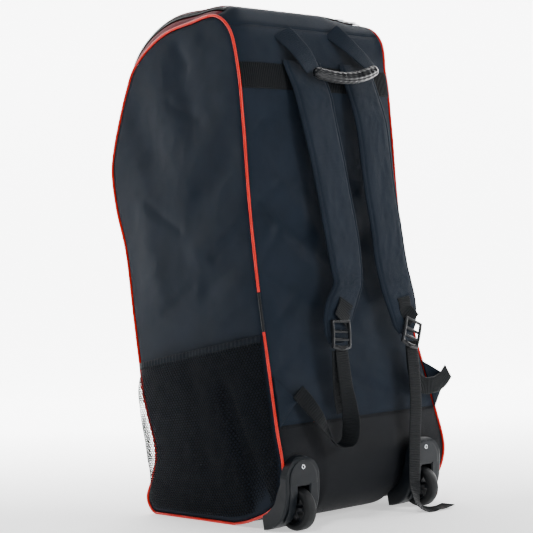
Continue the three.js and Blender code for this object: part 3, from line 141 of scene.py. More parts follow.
# Seams of the outline, each at its nearest point
SEAMS = {
    "heel": (-0.382, 0.055), "back_seam": (-0.396, 0.201), "band_top": (-0.250, 0.902),
    "top_seam": (-0.200, 0.976), "lid_rear": (-0.132, 1.000), "brow": (0.312, 0.958),
    "lid_front": (0.412, 0.919), "accent_top": (0.516, 0.815), "accent_foot": (0.574, 0.735),
    "toe_seam": (0.388, 0.066), "toe": (0.415, 0.025),
}

# Folds: a ridge or, below zero, a dent along a line. across is a share of WIDTH on the back and of DEPTH
# on the sides, up of HEIGHT, wide of WIDTH and high of FOLD_HEIGHT.
BACK_FOLDS = columns("across up to_across to_up wide high", [
    (-0.46, 0.70, -0.20, 0.61, 0.06, 0.55), (-0.46, 0.64, -0.18, 0.56, 0.05, -0.70),
    (-0.46, 0.58, -0.16, 0.50, 0.06, 0.55), (-0.46, 0.50, -0.20, 0.44, 0.05, -0.60),
    (-0.44, 0.40, -0.14, 0.36, 0.06, 0.50), (-0.40, 0.33, -0.10, 0.27, 0.05, -0.50),
    (0.40, 0.62, 0.16, 0.54, 0.06, -0.50), (0.42, 0.45, 0.12, 0.40, 0.06, 0.50),
])
# Creases: narrow folds, listed like the folds.
BACK_CREASES = columns("across up to_across to_up wide high", [
    (-0.49, 0.615, -0.32, 0.665, 0.024, -0.36), (-0.49, 0.505, -0.35, 0.572, 0.024, -0.36),
    (-0.48, 0.540, -0.38, 0.590, 0.022, 0.20), (-0.47, 0.390, -0.26, 0.445, 0.024, -0.30),
    (-0.47, 0.300, -0.30, 0.345, 0.022, -0.24), (-0.36, 0.215, -0.14, 0.245, 0.026, -0.30),
    (-0.48, 0.760, -0.34, 0.800, 0.024, -0.26), (-0.10, 0.520, 0.10, 0.470, 0.024, -0.26),
    (0.02, 0.700, 0.18, 0.650, 0.024, -0.26), (0.48, 0.700, 0.38, 0.740, 0.022, -0.30),
    (0.48, 0.560, 0.40, 0.600, 0.022, -0.26), (0.00, 0.280, 0.22, 0.240, 0.026, -0.26),
])
SIDE_CREASES = columns("across up to_across to_up wide high", [
    (-0.290, 0.596, -0.083, 0.526, 0.022, -0.40), (-0.300, 0.622, -0.110, 0.552, 0.022, 0.22),
    (-0.149, 0.392, -0.320, 0.432, 0.022, -0.36), (-0.200, 0.360, -0.340, 0.392, 0.022, -0.22),
    (-0.065, 0.962, -0.224, 0.930, 0.050, -0.36), (0.110, 0.950, 0.060, 0.915, 0.040, -0.32),
    (0.320, 0.640, 0.120, 0.585, 0.024, -0.24), (0.050, 0.470, 0.240, 0.420, 0.024, -0.24),
    (-0.020, 0.800, 0.160, 0.840, 0.026, -0.20), (0.300, 0.400, 0.120, 0.372, 0.024, -0.26),
])
SIDE_FOLDS = columns("across up to_across to_up wide high", [
    (0.40, 0.84, 0.28, 0.74, 0.10, -0.7), (0.10, 0.90, 0.02, 0.80, 0.09, -0.5),
    (-0.20, 0.72, -0.02, 0.66, 0.06, -0.6), (-0.24, 0.62, 0.00, 0.54, 0.07, 0.5),
    (-0.26, 0.53, -0.04, 0.47, 0.06, -0.6), (0.30, 0.50, 0.40, 0.66, 0.12, 0.6),
])
# Dents of the net: forward is a share of the pocket's width from the back, up of its height.
NET_FOLDS = columns("forward up to_forward to_up wide deep", [
    (0.27, 0.70, 0.12, 0.06, 0.045, 0.011),
    (0.52, 0.90, 0.44, 0.30, 0.060, 0.004),
])
POCKET_ROWS = columns("up rear middle near_front", [
    (0.00, 0.00, 0.00, 0.00), (0.14, 0.12, 0.22, 0.38), (0.35, 0.20, 0.42, 0.76),
    (0.60, 0.22, 0.44, 0.88), (0.82, 0.16, 0.30, 0.76), (0.94, 0.08, 0.16, 0.40),
    (1.00, 0.03, 0.06, 0.05),
])

# Middle line of each shoulder strap: up is a share of HEIGHT, across of WIDTH, off of STRAP_STANDOFF,
# wide of STRAP_WIDTH and thick of STRAP_THICKNESS.
STRAPS = {
    "left": columns("up across off wide thick", [
        (0.912, -0.112, 0.09, 1.07, 0.45), (0.895, -0.108, 0.10, 1.08, 0.60),
        (0.850, -0.088, 0.30, 1.07, 0.90), (0.793, -0.082, 0.58, 1.02, 1.00),
        (0.674, -0.043, 0.80, 0.98, 1.00), (0.573, -0.018, 0.90, 0.98, 1.00),
        (0.502, -0.010, 0.92, 0.92, 1.00), (0.467, -0.014, 0.95, 0.84, 1.00),
        (0.435, -0.066, 1.00, 0.93, 1.00), (0.400, -0.112, 1.05, 0.86, 0.95),
        (0.368, -0.138, 1.05, 0.64, 0.80), (0.350, -0.144, 1.05, 0.40, 0.60),
    ]),
    "right": columns("up across off wide thick", [
        (0.912, 0.250, 0.09, 0.96, 0.45), (0.895, 0.252, 0.10, 0.96, 0.60),
        (0.850, 0.258, 0.35, 0.96, 0.90), (0.793, 0.268, 0.70, 0.96, 1.00),
        (0.674, 0.272, 0.95, 0.95, 1.00), (0.573, 0.292, 1.00, 0.95, 1.00),
        (0.502, 0.296, 1.05, 0.98, 1.00), (0.448, 0.310, 1.15, 0.98, 1.00),
        (0.410, 0.322, 1.20, 0.88, 0.95), (0.375, 0.326, 1.20, 0.68, 0.80),
        (0.357, 0.328, 1.20, 0.40, 0.60),
    ]),
}

# Routes of webbing: across is a share of WIDTH, up of HEIGHT, out of STRAP_STANDOFF, turn in degrees.
LOOP_LEFT = columns("across up out turn", [
    (-0.375, 0.263, 0.37, 0), (-0.339, 0.243, 0.55, 0), (-0.295, 0.212, 0.85, 12),
    (-0.258, 0.180, 1.15, 38), (-0.229, 0.160, 1.30, 66), (-0.184, 0.153, 1.35, 82),
    (-0.140, 0.160, 1.35, 70), (-0.118, 0.185, 1.30, 48), (-0.114, 0.220, 1.25, 20),
    (-0.120, 0.265, 1.25, 4), (-0.128, 0.343, 1.37, 0),
])
TAIL_LEFT = columns("across up out turn", [
    (-0.144, 0.336, 1.27, 0), (-0.146, 0.275, 0.98, 0), (-0.140, 0.240, 0.82, 2),
    (-0.134, 0.214, 0.78, 4),
])
TAIL_RIGHT = columns("across up out turn", [
    (0.356, 0.342, 1.43, 0), (0.350, 0.280, 1.37, 0), (0.340, 0.220, 1.30, 0),
    (0.322, 0.150, 1.26, 0), (0.306, 0.095, 1.34, 0), (0.290, 0.045, 1.50, 4),
    (0.276, 0.017, 1.90, 26), (0.292, 0.006, 2.30, 66), (0.350, 0.004, 2.46, 88),
    (0.410, 0.004, 2.46, 90), (0.455, 0.007, 2.46, 90),
])
LINK_RIGHT = columns("across up out turn", [
    (0.665, 0.270, 0.69, 0), (0.610, 0.254, 0.72, 0), (0.520, 0.246, 0.86, 0),
    (0.430, 0.250, 0.90, 0), (0.374, 0.272, 1.05, 0), (0.356, 0.334, 1.34, 0),
])
HANDLE_LEGS = {
    "left": columns("across up out wide turn", [
        (-0.196, 0.972, 0.10, 1.10, 0), (-0.178, 0.955, 0.40, 1.08, 0),
        (-0.148, 0.925, 0.95, 1.04, 4), (-0.110, 0.892, 1.12, 0.96, 10),
    ]),
    "right": columns("across up out wide turn", [
        (0.150, 0.984, 0.12, 1.00, 0), (0.188, 0.962, 0.45, 0.95, 6),
        (0.248, 0.928, 0.95, 0.85, 14), (0.308, 0.901, 1.16, 0.70, 20),
    ]),
}
GRIP_ROWS = columns("across up out girth", [
    (-0.105, 0.890, 1.12, 0.62), (-0.077, 0.886, 1.18, 0.95), (-0.007, 0.881, 1.25, 1.0),
    (0.073, 0.879, 1.28, 1.0), (0.163, 0.882, 1.28, 1.0), (0.251, 0.891, 1.25, 1.0),
    (0.311, 0.900, 1.18, 0.92), (0.331, 0.904, 1.12, 0.6),
])
BUCKLES = {
    "left": {"across": -0.134, "up": 0.366, "out": 1.60, "tilt": 4, "lean": 4},
    "right": {"across": 0.345, "up": 0.358, "out": 1.69, "tilt": 22, "lean": 4},
}

# Camera, fitted to the photo
IMAGE_SIZE = 533
FOCAL_PIXELS = 1559.6
SENSOR = 36.0
CAMERA_AZIMUTH = -43.28
CAMERA_DISTANCE = 2.984
CAMERA_HEIGHT = 0.470
CAMERA_PITCH = 0.106
CAMERA_SIDE = -0.023
CAMERA_ROLL = -2.162
CAMERA_OFFSET = -0.005


def add_camera():
    azimuth, pitch, roll = (math.radians(a) for a in (CAMERA_AZIMUTH, CAMERA_PITCH, CAMERA_ROLL))
    place = Vector((
        math.sin(azimuth) * CAMERA_DISTANCE + CAMERA_SIDE * math.cos(azimuth) + CAMERA_OFFSET,
        -math.cos(azimuth) * CAMERA_DISTANCE + CAMERA_SIDE * math.sin(azimuth),
        CAMERA_HEIGHT,
    ))
    forward = Vector((
        -math.sin(azimuth) * math.cos(pitch),
        math.cos(azimuth) * math.cos(pitch),
        -math.sin(pitch),
    ))
    level = Vector((math.cos(azimuth), math.sin(azimuth), 0))
    upright = level.cross(forward)
    right = level * math.cos(roll) + upright * math.sin(roll)
    up = upright * math.cos(roll) - level * math.sin(roll)
    camera = bpy.data.objects.new("camera", bpy.data.cameras.new("camera"))
    camera.matrix_world = Matrix((
        (right.x, up.x, -forward.x, place.x),
        (right.y, up.y, -forward.y, place.y),
        (right.z, up.z, -forward.z, place.z),
        (0, 0, 0, 1),
    ))
    camera.data.sensor_width = SENSOR
    camera.data.lens = FOCAL_PIXELS / IMAGE_SIZE * SENSOR
    bpy.context.scene.collection.objects.link(camera)
    bpy.context.scene.camera = camera


add_camera()


# Materials

WEAVE_PITCH = 0.0011
HERRINGBONE_PITCH = 0.0016


def srgb(code):
    """A linear colour from a written one such as 2f363f."""
    parts = [int(code[i:i + 2], 16) / 255 for i in (0, 2, 4)]
    return tuple(c / 12.92 if c <= 0.04045 else ((c + 0.055) / 1.055) ** 2.4 for c in parts)


class Finish:
    """A material under construction: its node tree, its shader and its coordinates."""

    def __init__(self, name, colour, roughness, metallic=0.0, coat=0.0, specular=0.5, flat=False):
        self.material = bpy.data.materials.new(name)
        self.material.use_nodes = True
        self.tree = self.material.node_tree
        self.shader = self.tree.nodes["Principled BSDF"]
        self.colour = srgb(colour)
        self.set("Base Color", (*self.colour, 1))
        self.set("Roughness", roughness)
        self.set("Metallic", metallic)
        self.set("Specular IOR Level", specular)
        self.set("Coat Weight", coat)
        self.set("Coat Roughness", 0.12)
        if flat:
            self.coordinates = self.add("ShaderNodeUVMap").outputs["UV"]
        else:
            self.coordinates = self.add("ShaderNodeTexCoord").outputs["Object"]

    def add(self, kind, **values):
        node = self.tree.nodes.new(kind)
        for key, value in values.items():
            setattr(node, key, value)
        return node

    def set(self, socket, value):
        self.shader.inputs[socket].default_value = value

    def link(self, output, socket):
        self.tree.links.new(output, socket)

    def noise(self, scale, detail=3.0, stretch=(1, 1, 1)):
        mapping = self.add("ShaderNodeMapping")
        mapping.inputs["Scale"].default_value = stretch
        self.link(self.coordinates, mapping.inputs["Vector"])
        node = self.add("ShaderNodeTexNoise")
        node.inputs["Scale"].default_value = scale
        node.inputs["Detail"].default_value = detail
        self.link(mapping.outputs["Vector"], node.inputs["Vector"])
        return node.outputs["Fac"]

    def wave(self, pitch, direction):
        """Bands at a pitch in metres."""
        node = self.add("ShaderNodeTexWave", wave_type="BANDS", bands_direction=direction)
        node.inputs["Scale"].default_value = math.pi / (10 * pitch)
        self.link(self.coordinates, node.inputs["Vector"])
        return node.outputs["Fac"]

    def math(self, operation, a, b):
        node = self.add("ShaderNodeMath", operation=operation)
        for socket, value in zip(node.inputs, (a, b)):
            if isinstance(value, (int, float)):
                socket.default_value = value
            else:
                self.link(value, socket)
        return node.outputs["Value"]

    def ramp(self, value, low, high, start=0.3, end=0.7):
        node = self.add("ShaderNodeMapRange")
        for socket, number in zip(("From Min", "From Max", "To Min", "To Max"), (start, end, low, high)):
            node.inputs[socket].default_value = number
        self.link(value, node.inputs["Value"])
        return node.outputs["Result"]

    def tint(self, value, dark, light):
        """Base colour times a share that runs from dark to light."""
        node = self.add("ShaderNodeMix", data_type="RGBA")
        node.inputs[6].default_value = (*(c * dark for c in self.colour), 1)
        node.inputs[7].default_value = (*(c * light for c in self.colour), 1)
        self.link(value, node.inputs["Factor"])
        self.link(node.outputs[2], self.shader.inputs["Base Color"])

    def bump(self, height, distance, strength=1.0):
        node = self.add("ShaderNodeBump")
        node.inputs["Distance"].default_value = distance
        node.inputs["Strength"].default_value = strength
        self.link(height, node.inputs["Height"])
        before = self.shader.inputs["Normal"].links
        if before:
            self.link(before[0].from_socket, node.inputs["Normal"])
        self.link(node.outputs["Normal"], self.shader.inputs["Normal"])


def cloth(name, colour, roughness=0.7, specular=0.1, variation=0.2):
    """Woven cloth: crossing threads as bump, with the colour of the threads and of slow patches varied."""
    made = Finish(name, colour, roughness, specular=specular, flat=True)
    threads = made.math("MULTIPLY", made.wave(WEAVE_PITCH, "X"), made.wave(WEAVE_PITCH, "Y"))
    slub = made.noise(420.0, 2.0, (1, 0.12, 1))
    patches = made.noise(16.0, 4.0)
    shade = made.math("MULTIPLY", patches, made.math("ADD", made.math("MULTIPLY", threads, 0.35), 0.8))
    mixed = made.math("ADD", made.math("MULTIPLY", slub, 0.3), shade)
    made.tint(made.ramp(mixed, 0, 1, 0.35, 0.95), 1 - variation, 1 + variation)
    made.bump(made.noise(90.0, 4.0), 0.0005, 0.5)
    made.bump(threads, 0.00025, 0.7)
    return made.material


def webbing_finish(name, colour):
    made = Finish(name, colour, 0.6, specular=0.12, flat=True)
    herringbone = made.wave(HERRINGBONE_PITCH, "DIAGONAL")
    made.tint(made.ramp(made.noise(260.0, 3.0), 0, 1), 0.78, 1.3)
    made.bump(herringbone, 0.0002, 0.6)
    made.bump(made.noise(900.0, 2.0), 0.0001, 0.5)
    return made.material


def plastic(name, colour, roughness, coat=0.0, grain=0.00008):
    made = Finish(name, colour, roughness, coat=coat, specular=0.22)
    made.tint(made.ramp(made.noise(35.0, 5.0), 0, 1), 0.85, 1.18)
    made.link(made.ramp(made.noise(60.0, 4.0), roughness - 0.08, roughness + 0.1),
              made.shader.inputs["Roughness"])
    made.bump(made.noise(1400.0, 2.0), grain, 0.6)
    return made.material


def metal(name, colour, roughness):
    made = Finish(name, colour, roughness, metallic=1.0)
    made.link(made.ramp(made.noise(300.0, 3.0), roughness - 0.06, roughness + 0.12),
              made.shader.inputs["Roughness"])
    made.bump(made.noise(700.0, 2.0, (1, 6, 1)), 0.00004, 0.5)
    return made.material


def net_finish(name, colour):
    made = Finish(name, colour, 0.65, specular=0.08)
    made.tint(made.ramp(made.noise(500.0, 2.0), 0, 1), 0.8, 1.25)
    made.bump(made.noise(2500.0, 2.0), 0.0001, 0.6)
    return made.material


BODY_CLOTH = cloth("body_cloth", "151d27")
BASE_CLOTH = cloth("base_cloth", "080b10", roughness=0.6, specular=0.12)
MAROON_CLOTH = cloth("maroon_cloth", "5c0918", specular=0.12)
STRAP_CLOTH = cloth("strap_cloth", "151d27", specular=0.12, variation=0.16)
HEM_CLOTH = cloth("hem_cloth", "0e141b", specular=0.12, variation=0.1)
BLACK_WEBBING = webbing_finish("black_webbing", "070a0d")
TAPE = webbing_finish("zip_tape", "080a0d")
THREAD = webbing_finish("thread", "0b0f14")
MAROON_THREAD = webbing_finish("maroon_thread", "40060f")
NET = net_finish("net", "06090d")
PIPING = plastic("piping", "c8170c", 0.36, coat=0.1, grain=0.00003)
SPLICE = plastic("splice", "111316", 0.4)
BUCKLE_PLASTIC = plastic("buckle_plastic", "101215", 0.3, coat=0.1)
GRIP_RUBBER = plastic("grip_rubber", "0f1114", 0.3, coat=0.12)
HOUSING_PLASTIC = plastic("housing_plastic", "0c1116", 0.42, grain=0.00015)
WHEEL_PLASTIC = plastic("wheel_plastic", "13161a", 0.42)
TYRE = plastic("tyre", "111315", 0.55)
STEEL = metal("steel", "c9ccd0", 0.24)


# Meshes

def grid_faces(rows, count, wrap=False, flip=False, start=0):
    """Faces of a grid of points, rows by count, with the last column joined to the first if it wraps."""
    faces = []
    across = count if wrap else count - 1
    for row in range(rows - 1):
        for column in range(across):
            beside = (column + 1) % count
            face = [row * count + column, row * count + beside,
                    (row + 1) * count + beside, (row + 1) * count + column]
            faces.append([start + i for i in (reversed(face) if flip else face)])
    return faces


def add_piece(name, points, faces, material, uv=None, body="root", smooth=True):
    """A new piece. It replaces the CAD node of its name, where there is one."""
    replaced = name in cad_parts
    points = np.asarray(points, float).reshape(-1, 3)
    mesh = bpy.data.meshes.new(name)
    mesh.from_pydata(points.tolist(), [], faces)
    mesh.materials.append(material)
    if uv is not None:
        loops = np.zeros(len(mesh.loops), np.int32)
        mesh.loops.foreach_get("vertex_index", loops)
        layer = mesh.uv_layers.new(name="UVMap")
        layer.data.foreach_set("uv", np.asarray(uv, float).reshape(-1, 2)[loops].ravel())
    if smooth:
        mesh.shade_smooth()
    piece = bpy.data.objects.new(f"made_{name}" if replaced else name, mesh)
    bpy.context.scene.collection.objects.link(piece)
    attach(piece, body)
    if replaced:
        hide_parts(name)
    return piece


def add_part(points, faces, rings, wrap=True, capped=False):
    """Adds a grid of points, rows by count by 3, to the lists of a piece that is made of several."""
    rows, count = rings.shape[:2]
    start = sum(len(part) for part in points)
    faces.extend(grid_faces(rows, count, wrap=wrap, start=start))
    if capped:
        faces.append([start + j for j in range(count)][::-1])
        faces.append([start + (rows - 1) * count + j for j in range(count)])
    points.append(rings.reshape(-1, 3))


def thicken(piece, thickness):
    wall = piece.modifiers.new("wall", "SOLIDIFY")
    wall.thickness = thickness
    wall.offset = -1.0
    return piece


def soften(piece, width, segments=2):
    edge = piece.modifiers.new("edge", "BEVEL")
    edge.width = width
    edge.segments = segments
    edge.limit_method = "ANGLE"
    edge.angle_limit = math.radians(30)


def sharpen(piece, angle):
    piece.data.shade_smooth()
    piece.data.set_sharp_from_angle(angle=math.radians(angle))


def finish_node(name, material, angle, edge=0.0):
    """A CAD node that keeps its shape gets a material, sharp edges and, if asked, rounded corners."""
    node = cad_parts[name]
    node.data.materials.clear()
    node.data.materials.append(material)
    sharpen(node, angle)
    if edge:
        soften(node, edge, 3)


def sheet_grid(name, points, material, flip=False, thickness=FABRIC, uv=None):
    """A wall of cloth from a grid of points of its outer face."""
    rows, count = points.shape[:2]
    if uv is None:
        uv = walked(points)
    piece = add_piece(name, points, grid_faces(rows, count, flip=flip), material, uv=uv)
    return thicken(piece, thickness)


def walked(points):
    """Coordinates in metres over a grid of points: the way walked across and along it."""
    across = np.linalg.norm(np.diff(points, axis=1), axis=2)
    along = np.linalg.norm(np.diff(points, axis=0), axis=2)
    across = np.pad(np.cumsum(across, axis=1), ((0, 0), (1, 0)))
    along = np.pad(np.cumsum(along, axis=0), ((1, 0), (0, 0)))
    middle = across[:, across.shape[1] // 2][:, None]
    return np.stack([across - middle, along], -1)


def tube_piece(name, sections, material, uv=None, capped=True):
    """A solid through closed sections, an array of rows by count by 3."""
    faces = []
    add_part([], faces, sections, capped=capped)
    if uv is None:
        uv = walked(sections)
    return add_piece(name, sections, faces, material, uv=uv)


def spline(points, count, closed=False):
    """Samples of a centripetal Catmull-Rom curve through points."""
    points = np.asarray(points, float)
    spans = len(points) if closed else len(points) - 1
    if closed:
        knots = np.vstack([points[-1], points, points[0], points[1]])
    else:
        knots = np.vstack([2 * points[0] - points[1], points, 2 * points[-1] - points[-2]])
    way = np.linspace(0, spans, count, endpoint=not closed)
    k = np.minimum(way.astype(int), spans - 1)
    w = (way - k)[:, None]
    p0, p1, p2, p3 = (knots[k + i] for i in range(4))
    d0, d1, d2 = (np.maximum(np.linalg.norm(b - a, axis=1, keepdims=True) ** 0.5, 1e-6)
                  for a, b in ((p0, p1), (p1, p2), (p2, p3)))
    leave = ((p1 - p0) / d0 - (p2 - p0) / (d0 + d1) + (p2 - p1) / d1) * d1
    arrive = ((p2 - p1) / d1 - (p3 - p1) / (d1 + d2) + (p3 - p2) / d2) * d1
    return ((2 * w**3 - 3 * w**2 + 1) * p1 + (w**3 - 2 * w**2 + w) * leave
            + (3 * w**2 - 2 * w**3) * p2 + (w**3 - w**2) * arrive)


def by_length(points, step, values=None):
    """Points of a line spread evenly, about a step apart, with values given at the old points."""
    pieces = np.linalg.norm(np.diff(points, axis=0), axis=1)
    way = np.concatenate([[0], np.cumsum(pieces)])
    count = max(2, int(round(way[-1] / step)) + 1)
    marks = np.linspace(0, way[-1], count)
    even = np.stack([np.interp(marks, way, points[:, k]) for k in range(points.shape[1])], -1)
    if values is None:
        return even
    return even, [np.interp(marks, way, value) for value in values], marks


def unit(vectors):
    return vectors / np.maximum(np.linalg.norm(vectors, axis=-1, keepdims=True), 1e-12)


def smoothstep(low, high, value):
    t = np.clip((value - low) / (high - low), 0, 1)
    return t * t * (3 - 2 * t)


def blurred(values, passes):
    """Values of a closed line, evened out."""
    for _ in range(passes):
        values = (np.roll(values, 1) + 2 * values + np.roll(values, -1)) / 4
    return values


# Outline of the body

DENSE = 3200


def dense_outline():
    rows = np.stack([OUTLINE["crown"] * CROWN, OUTLINE["forward"] * DEPTH, OUTLINE["up"] * HEIGHT], -1)
    line = spline(rows, DENSE, closed=True)
    crown, y, z = line.T
    seated = z < SEAT_HEIGHT * 1.3
    z = np.where(seated, SEAT_HEIGHT, z)
    crown = blurred(np.where(seated, SEAT_CROWN, crown), 30)
    forward, upward = np.roll(y, -2) - np.roll(y, 2), np.roll(z, -2) - np.roll(z, 2)
    length = np.hypot(forward, upward)
    ny, nz = blurred(-upward / length, 24), blurred(forward / length, 24)
    length = np.hypot(ny, nz)
    steps = np.hypot(np.roll(y, -1) - y, np.roll(z, -1) - z)
    along = np.concatenate([[0], np.cumsum(steps)])
    table = {"y": y, "z": z, "crown": crown, "ny": ny / length, "nz": nz / length}
    return {key: np.append(value, value[0]) for key, value in table.items()}, along


TABLE, ALONG = dense_outline()
LENGTH = ALONG[-1]


def outline_at(along):
    wrapped = np.mod(along, LENGTH)
    return {key: np.interp(wrapped, ALONG, value) for key, value in TABLE.items()}


def seam_along(forward, up):
    away = np.hypot(TABLE["y"] - forward * DEPTH, TABLE["z"] - up * HEIGHT)
    return ALONG[int(np.argmin(away[:-1]))]


SEAM = {name: seam_along(*place) for name, place in SEAMS.items()}


def corner_share(along):
    """1 at the right rear corner of the top, down to 0 at the band behind it and a reach away in front."""
    ahead = along - SEAM["top_seam"]
    reach = np.where(ahead < 0, SEAM["top_seam"] - SEAM["band_top"], CORNER_REACH)
    return np.maximum(0, 1 - (ahead / reach) ** 2) ** 2


TABLE["corner"] = corner_share(ALONG)
TABLE["lid_corner"] = corner_share(ALONG - CORNER_REACH / 2)


def seam_lift(side, at):
    return CORNER_LIFT * at["corner"] * np.where(np.asarray(side) < 0, 0, 1)


def corner_rise(at, x, share):
    """The corner's lift, which is full a little inside the seam, and the dent beside it."""
    near_edge = np.minimum(1, share * CORNER_FULL) ** CORNER_POWER
    dent = CORNER_DENT * np.exp(-(((x - DENT_ACROSS) / DENT_REACH) ** 2))
    return seam_lift(x, at) * near_edge - dent * at["lid_corner"] * (1 - near_edge)


def half_width(x, z):
    reach = np.minimum(1, np.abs(z - FLARE_HEIGHT) / FLARE_REACH)
    flare = FLARE * np.cos(reach * math.pi / 2) ** FLARE_POWER
    return WIDTH / 2 + np.where(x < 0, 0, flare)


def crown_profile(share):
    """Nearly 1 over the middle of a panel, down to 0 at its seams."""
    SHARPNESS = 12
    full = CROWN_EASE * (1 - np.abs(share) ** CROWN_POWER)
    return 1 - np.log1p(np.exp(SHARPNESS * (1 - full))) / SHARPNESS


def off_line(a, b, to_a, to_b, across, up, squash=1.0):
    """How far places lie from the line between two points."""
    da, db = to_a - a, to_b - b
    t = np.clip(((across - a) * da + (up - b) * db) / (da * da + db * db), 0, 1)
    return np.hypot(across - a - t * da, (up - b - t * db) * squash)


def fold_height(folds, across, up, across_size):
    height = 0
    for row in rows_of(folds):
        away = off_line(row["across"] * across_size, row["up"] * HEIGHT,
                        row["to_across"] * across_size, row["to_up"] * HEIGHT, across, up)
        height = height + row["high"] * FOLD_HEIGHT * np.exp(-(away / (row["wide"] * WIDTH)) ** 2)
    return height


def beside_housing(at, x):
    """The crown of the heel flattens out where the cloth runs under a wheel housing."""
    EASE = 0.030
    inner = abs(WHEEL_X) - HOUSING_WIDTH / 2
    across = np.clip((np.abs(x) - inner + EASE) / EASE, 0, 1)
    low = np.where(at["y"] < 0, np.clip((HOUSING_TOP + EASE - at["z"]) / EASE, 0, 1), 0)
    return 1 - across * low


def crinkle(a, b, size, seed, sharp=False):
    """Noise over two coordinates in metres: soft swells, or sharp ridges."""
    flat = [noise.noise(Vector((p, q, seed))) for p, q in zip(np.ravel(a) / size, np.ravel(b) / size)]
    values = np.array(flat).reshape(np.shape(a))
    return 1 - 2 * np.abs(values) ** 0.7 if sharp else values


wheel_low, wheel_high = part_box("wheel_left")
WHEEL_RADIUS = (wheel_high.z - wheel_low.z) / 2
WHEEL_HALF = (wheel_high.x - wheel_low.x) / 2
WHEEL_X = (wheel_high.x + wheel_low.x) / 2
AXLE_Y = (wheel_high.y + wheel_low.y) / 2
AXLE_Z = (wheel_high.z + wheel_low.z) / 2


def gusset(along, x, offset=0.0, worn=0.0):
    """Points over the back, top, front and base: a distance along the outline, and a place across."""
    SEAM_CALM = 0.06
    EDGE_CALM = 1 / 6
    at = outline_at(along)
    share = np.clip(np.abs(x) / half_width(x, at["z"]), 0, 1)
    wrapped = np.mod(along, LENGTH)
    from_seam = np.minimum(wrapped - SEAM["back_seam"], SEAM["top_seam"] - wrapped)
    fade = np.clip(from_seam / SEAM_CALM, 0, 1)
    calm = np.minimum(1, (1 - share) / EDGE_CALM)
    fold = fold_height(BACK_FOLDS, x, at["z"], WIDTH) + fold_height(BACK_CREASES, x, at["z"], WIDTH)
    fold = fold * calm * fade
    rise = offset + at["crown"] * crown_profile(share) * beside_housing(at, x) + fold + worn
    rise = rise + corner_rise(at, x, share)
    return np.stack(np.broadcast_arrays(x, at["y"] + at["ny"] * rise, at["z"] + at["nz"] * rise), -1)


def back_surface(x, z, off):
    """Points off the back at a height."""
    x, z, off = np.broadcast_arrays(x, z, off)
    profile = crown_profile(np.clip(np.abs(x) / half_width(x, z), 0, 1))
    low = np.full(z.shape, SEAM["back_seam"])
    high = np.full(z.shape, SEAM["lid_rear"])
    for _ in range(32):
        middle = (low + high) / 2
        at = outline_at(middle)
        under = at["z"] + at["nz"] * at["crown"] * profile < z
        low, high = np.where(under, middle, low), np.where(under, high, middle)
    at = outline_at(low)
    return np.stack([x, at["y"] + at["ny"] * at["crown"] * profile - off, z], -1)


def back_along(height):
    inside = (ALONG > SEAM["back_seam"]) & (ALONG < SEAM["top_seam"])
    return float(np.interp(height, TABLE["z"][inside], ALONG[inside]))


# The top panel's front edge stands up as far as this place across, where the slider is.
LIP_END = 0.10
LIP_EASE = 0.04
LIP_REACH = 0.014
LIP_HEIGHT = 0.0045


def marks(length, step):
    """Places from 0 to a length, close together near both ends."""
    edge = np.array([0, 0.0012, 0.0025, 0.004, 0.006, 0.009])
    count = max(2, int(round((length - 2 * edge[-1]) / step)))
    middle = np.linspace(edge[-1], length - edge[-1], count + 1)[1:-1]
    return np.concatenate([edge, middle, length - edge[::-1]])


def edge_pinch(edge):
    """How far cloth dips into its seam, from its distance to the edge."""
    return -EDGE_DIP * np.exp(-(edge / EDGE_REACH) ** 2)


def panel_grid(start, end, inset=EDGE_INSET, inset_end=None, step=0.005, offset=FABRIC / 2,
               wear=0.0, seed=1.0, lip=0.0):
    """Points of a panel between two places along the outline, and its coordinates in metres."""
    inset_end = inset if inset_end is None else inset_end
    along = start + marks(end - start, step) if end - start > 0.03 else np.linspace(start, end, 9)
    z = outline_at(along)["z"]
    left = -half_width(-1, z) + inset
    right = half_width(1, z) - inset_end
    span = float(np.median(right - left))
    share = (marks(span, step) if span > 0.03 else np.linspace(0, span, 7)) / span
    x = left[:, None] + (right - left)[:, None] * share[None, :]
    s = np.broadcast_to(along[:, None], x.shape)
    edge = np.minimum(np.minimum(s - start, end - s), np.minimum(x - left[:, None], right[:, None] - x))
    pinch = edge_pinch(edge)
    worn = np.zeros(x.shape)
    if wear:
        ease = smoothstep(0, 0.03, edge)
        worn = wear * ease * (0.6 * crinkle(x, s, 0.11, seed) + 0.35 * crinkle(x, s * 0.8, 0.045, seed + 7)
                              + 0.22 * crinkle(x + s, s - x, 0.05, seed + 13, sharp=True))
    if lip:
        along_edge = smoothstep(0, LIP_EASE, x - left[:, None]) * smoothstep(0, LIP_EASE, LIP_END - x)
        pinch = pinch + lip * np.exp(-((end - s) / LIP_REACH) ** 2) * along_edge
    return gusset(s, x, offset, worn + pinch), np.stack([x, s], -1)


def add_panel(name, start, end, material, slot, **extra):
    points, uv = panel_grid(start, end, **extra)
    sheet_grid(name, points, material, uv=uv)


# Stitches: rows of short threads, gathered by colour and made as one piece each

STITCH_PITCH = 0.0042
STITCH_LENGTH = 0.0029
STITCH_WIDTH = 0.0009
STITCH_HEIGHT = 0.0004
SEAM_STITCH = 0.004
stitch_rows = {"black": [], "maroon": []}


def stitch(points, normals, colour="black", pitch=STITCH_PITCH):
    line, values, _ = by_length(points, pitch, [normals[:, k] for k in range(3)])
    stitch_rows[colour].append((line, unit(np.stack(values, -1)), pitch))


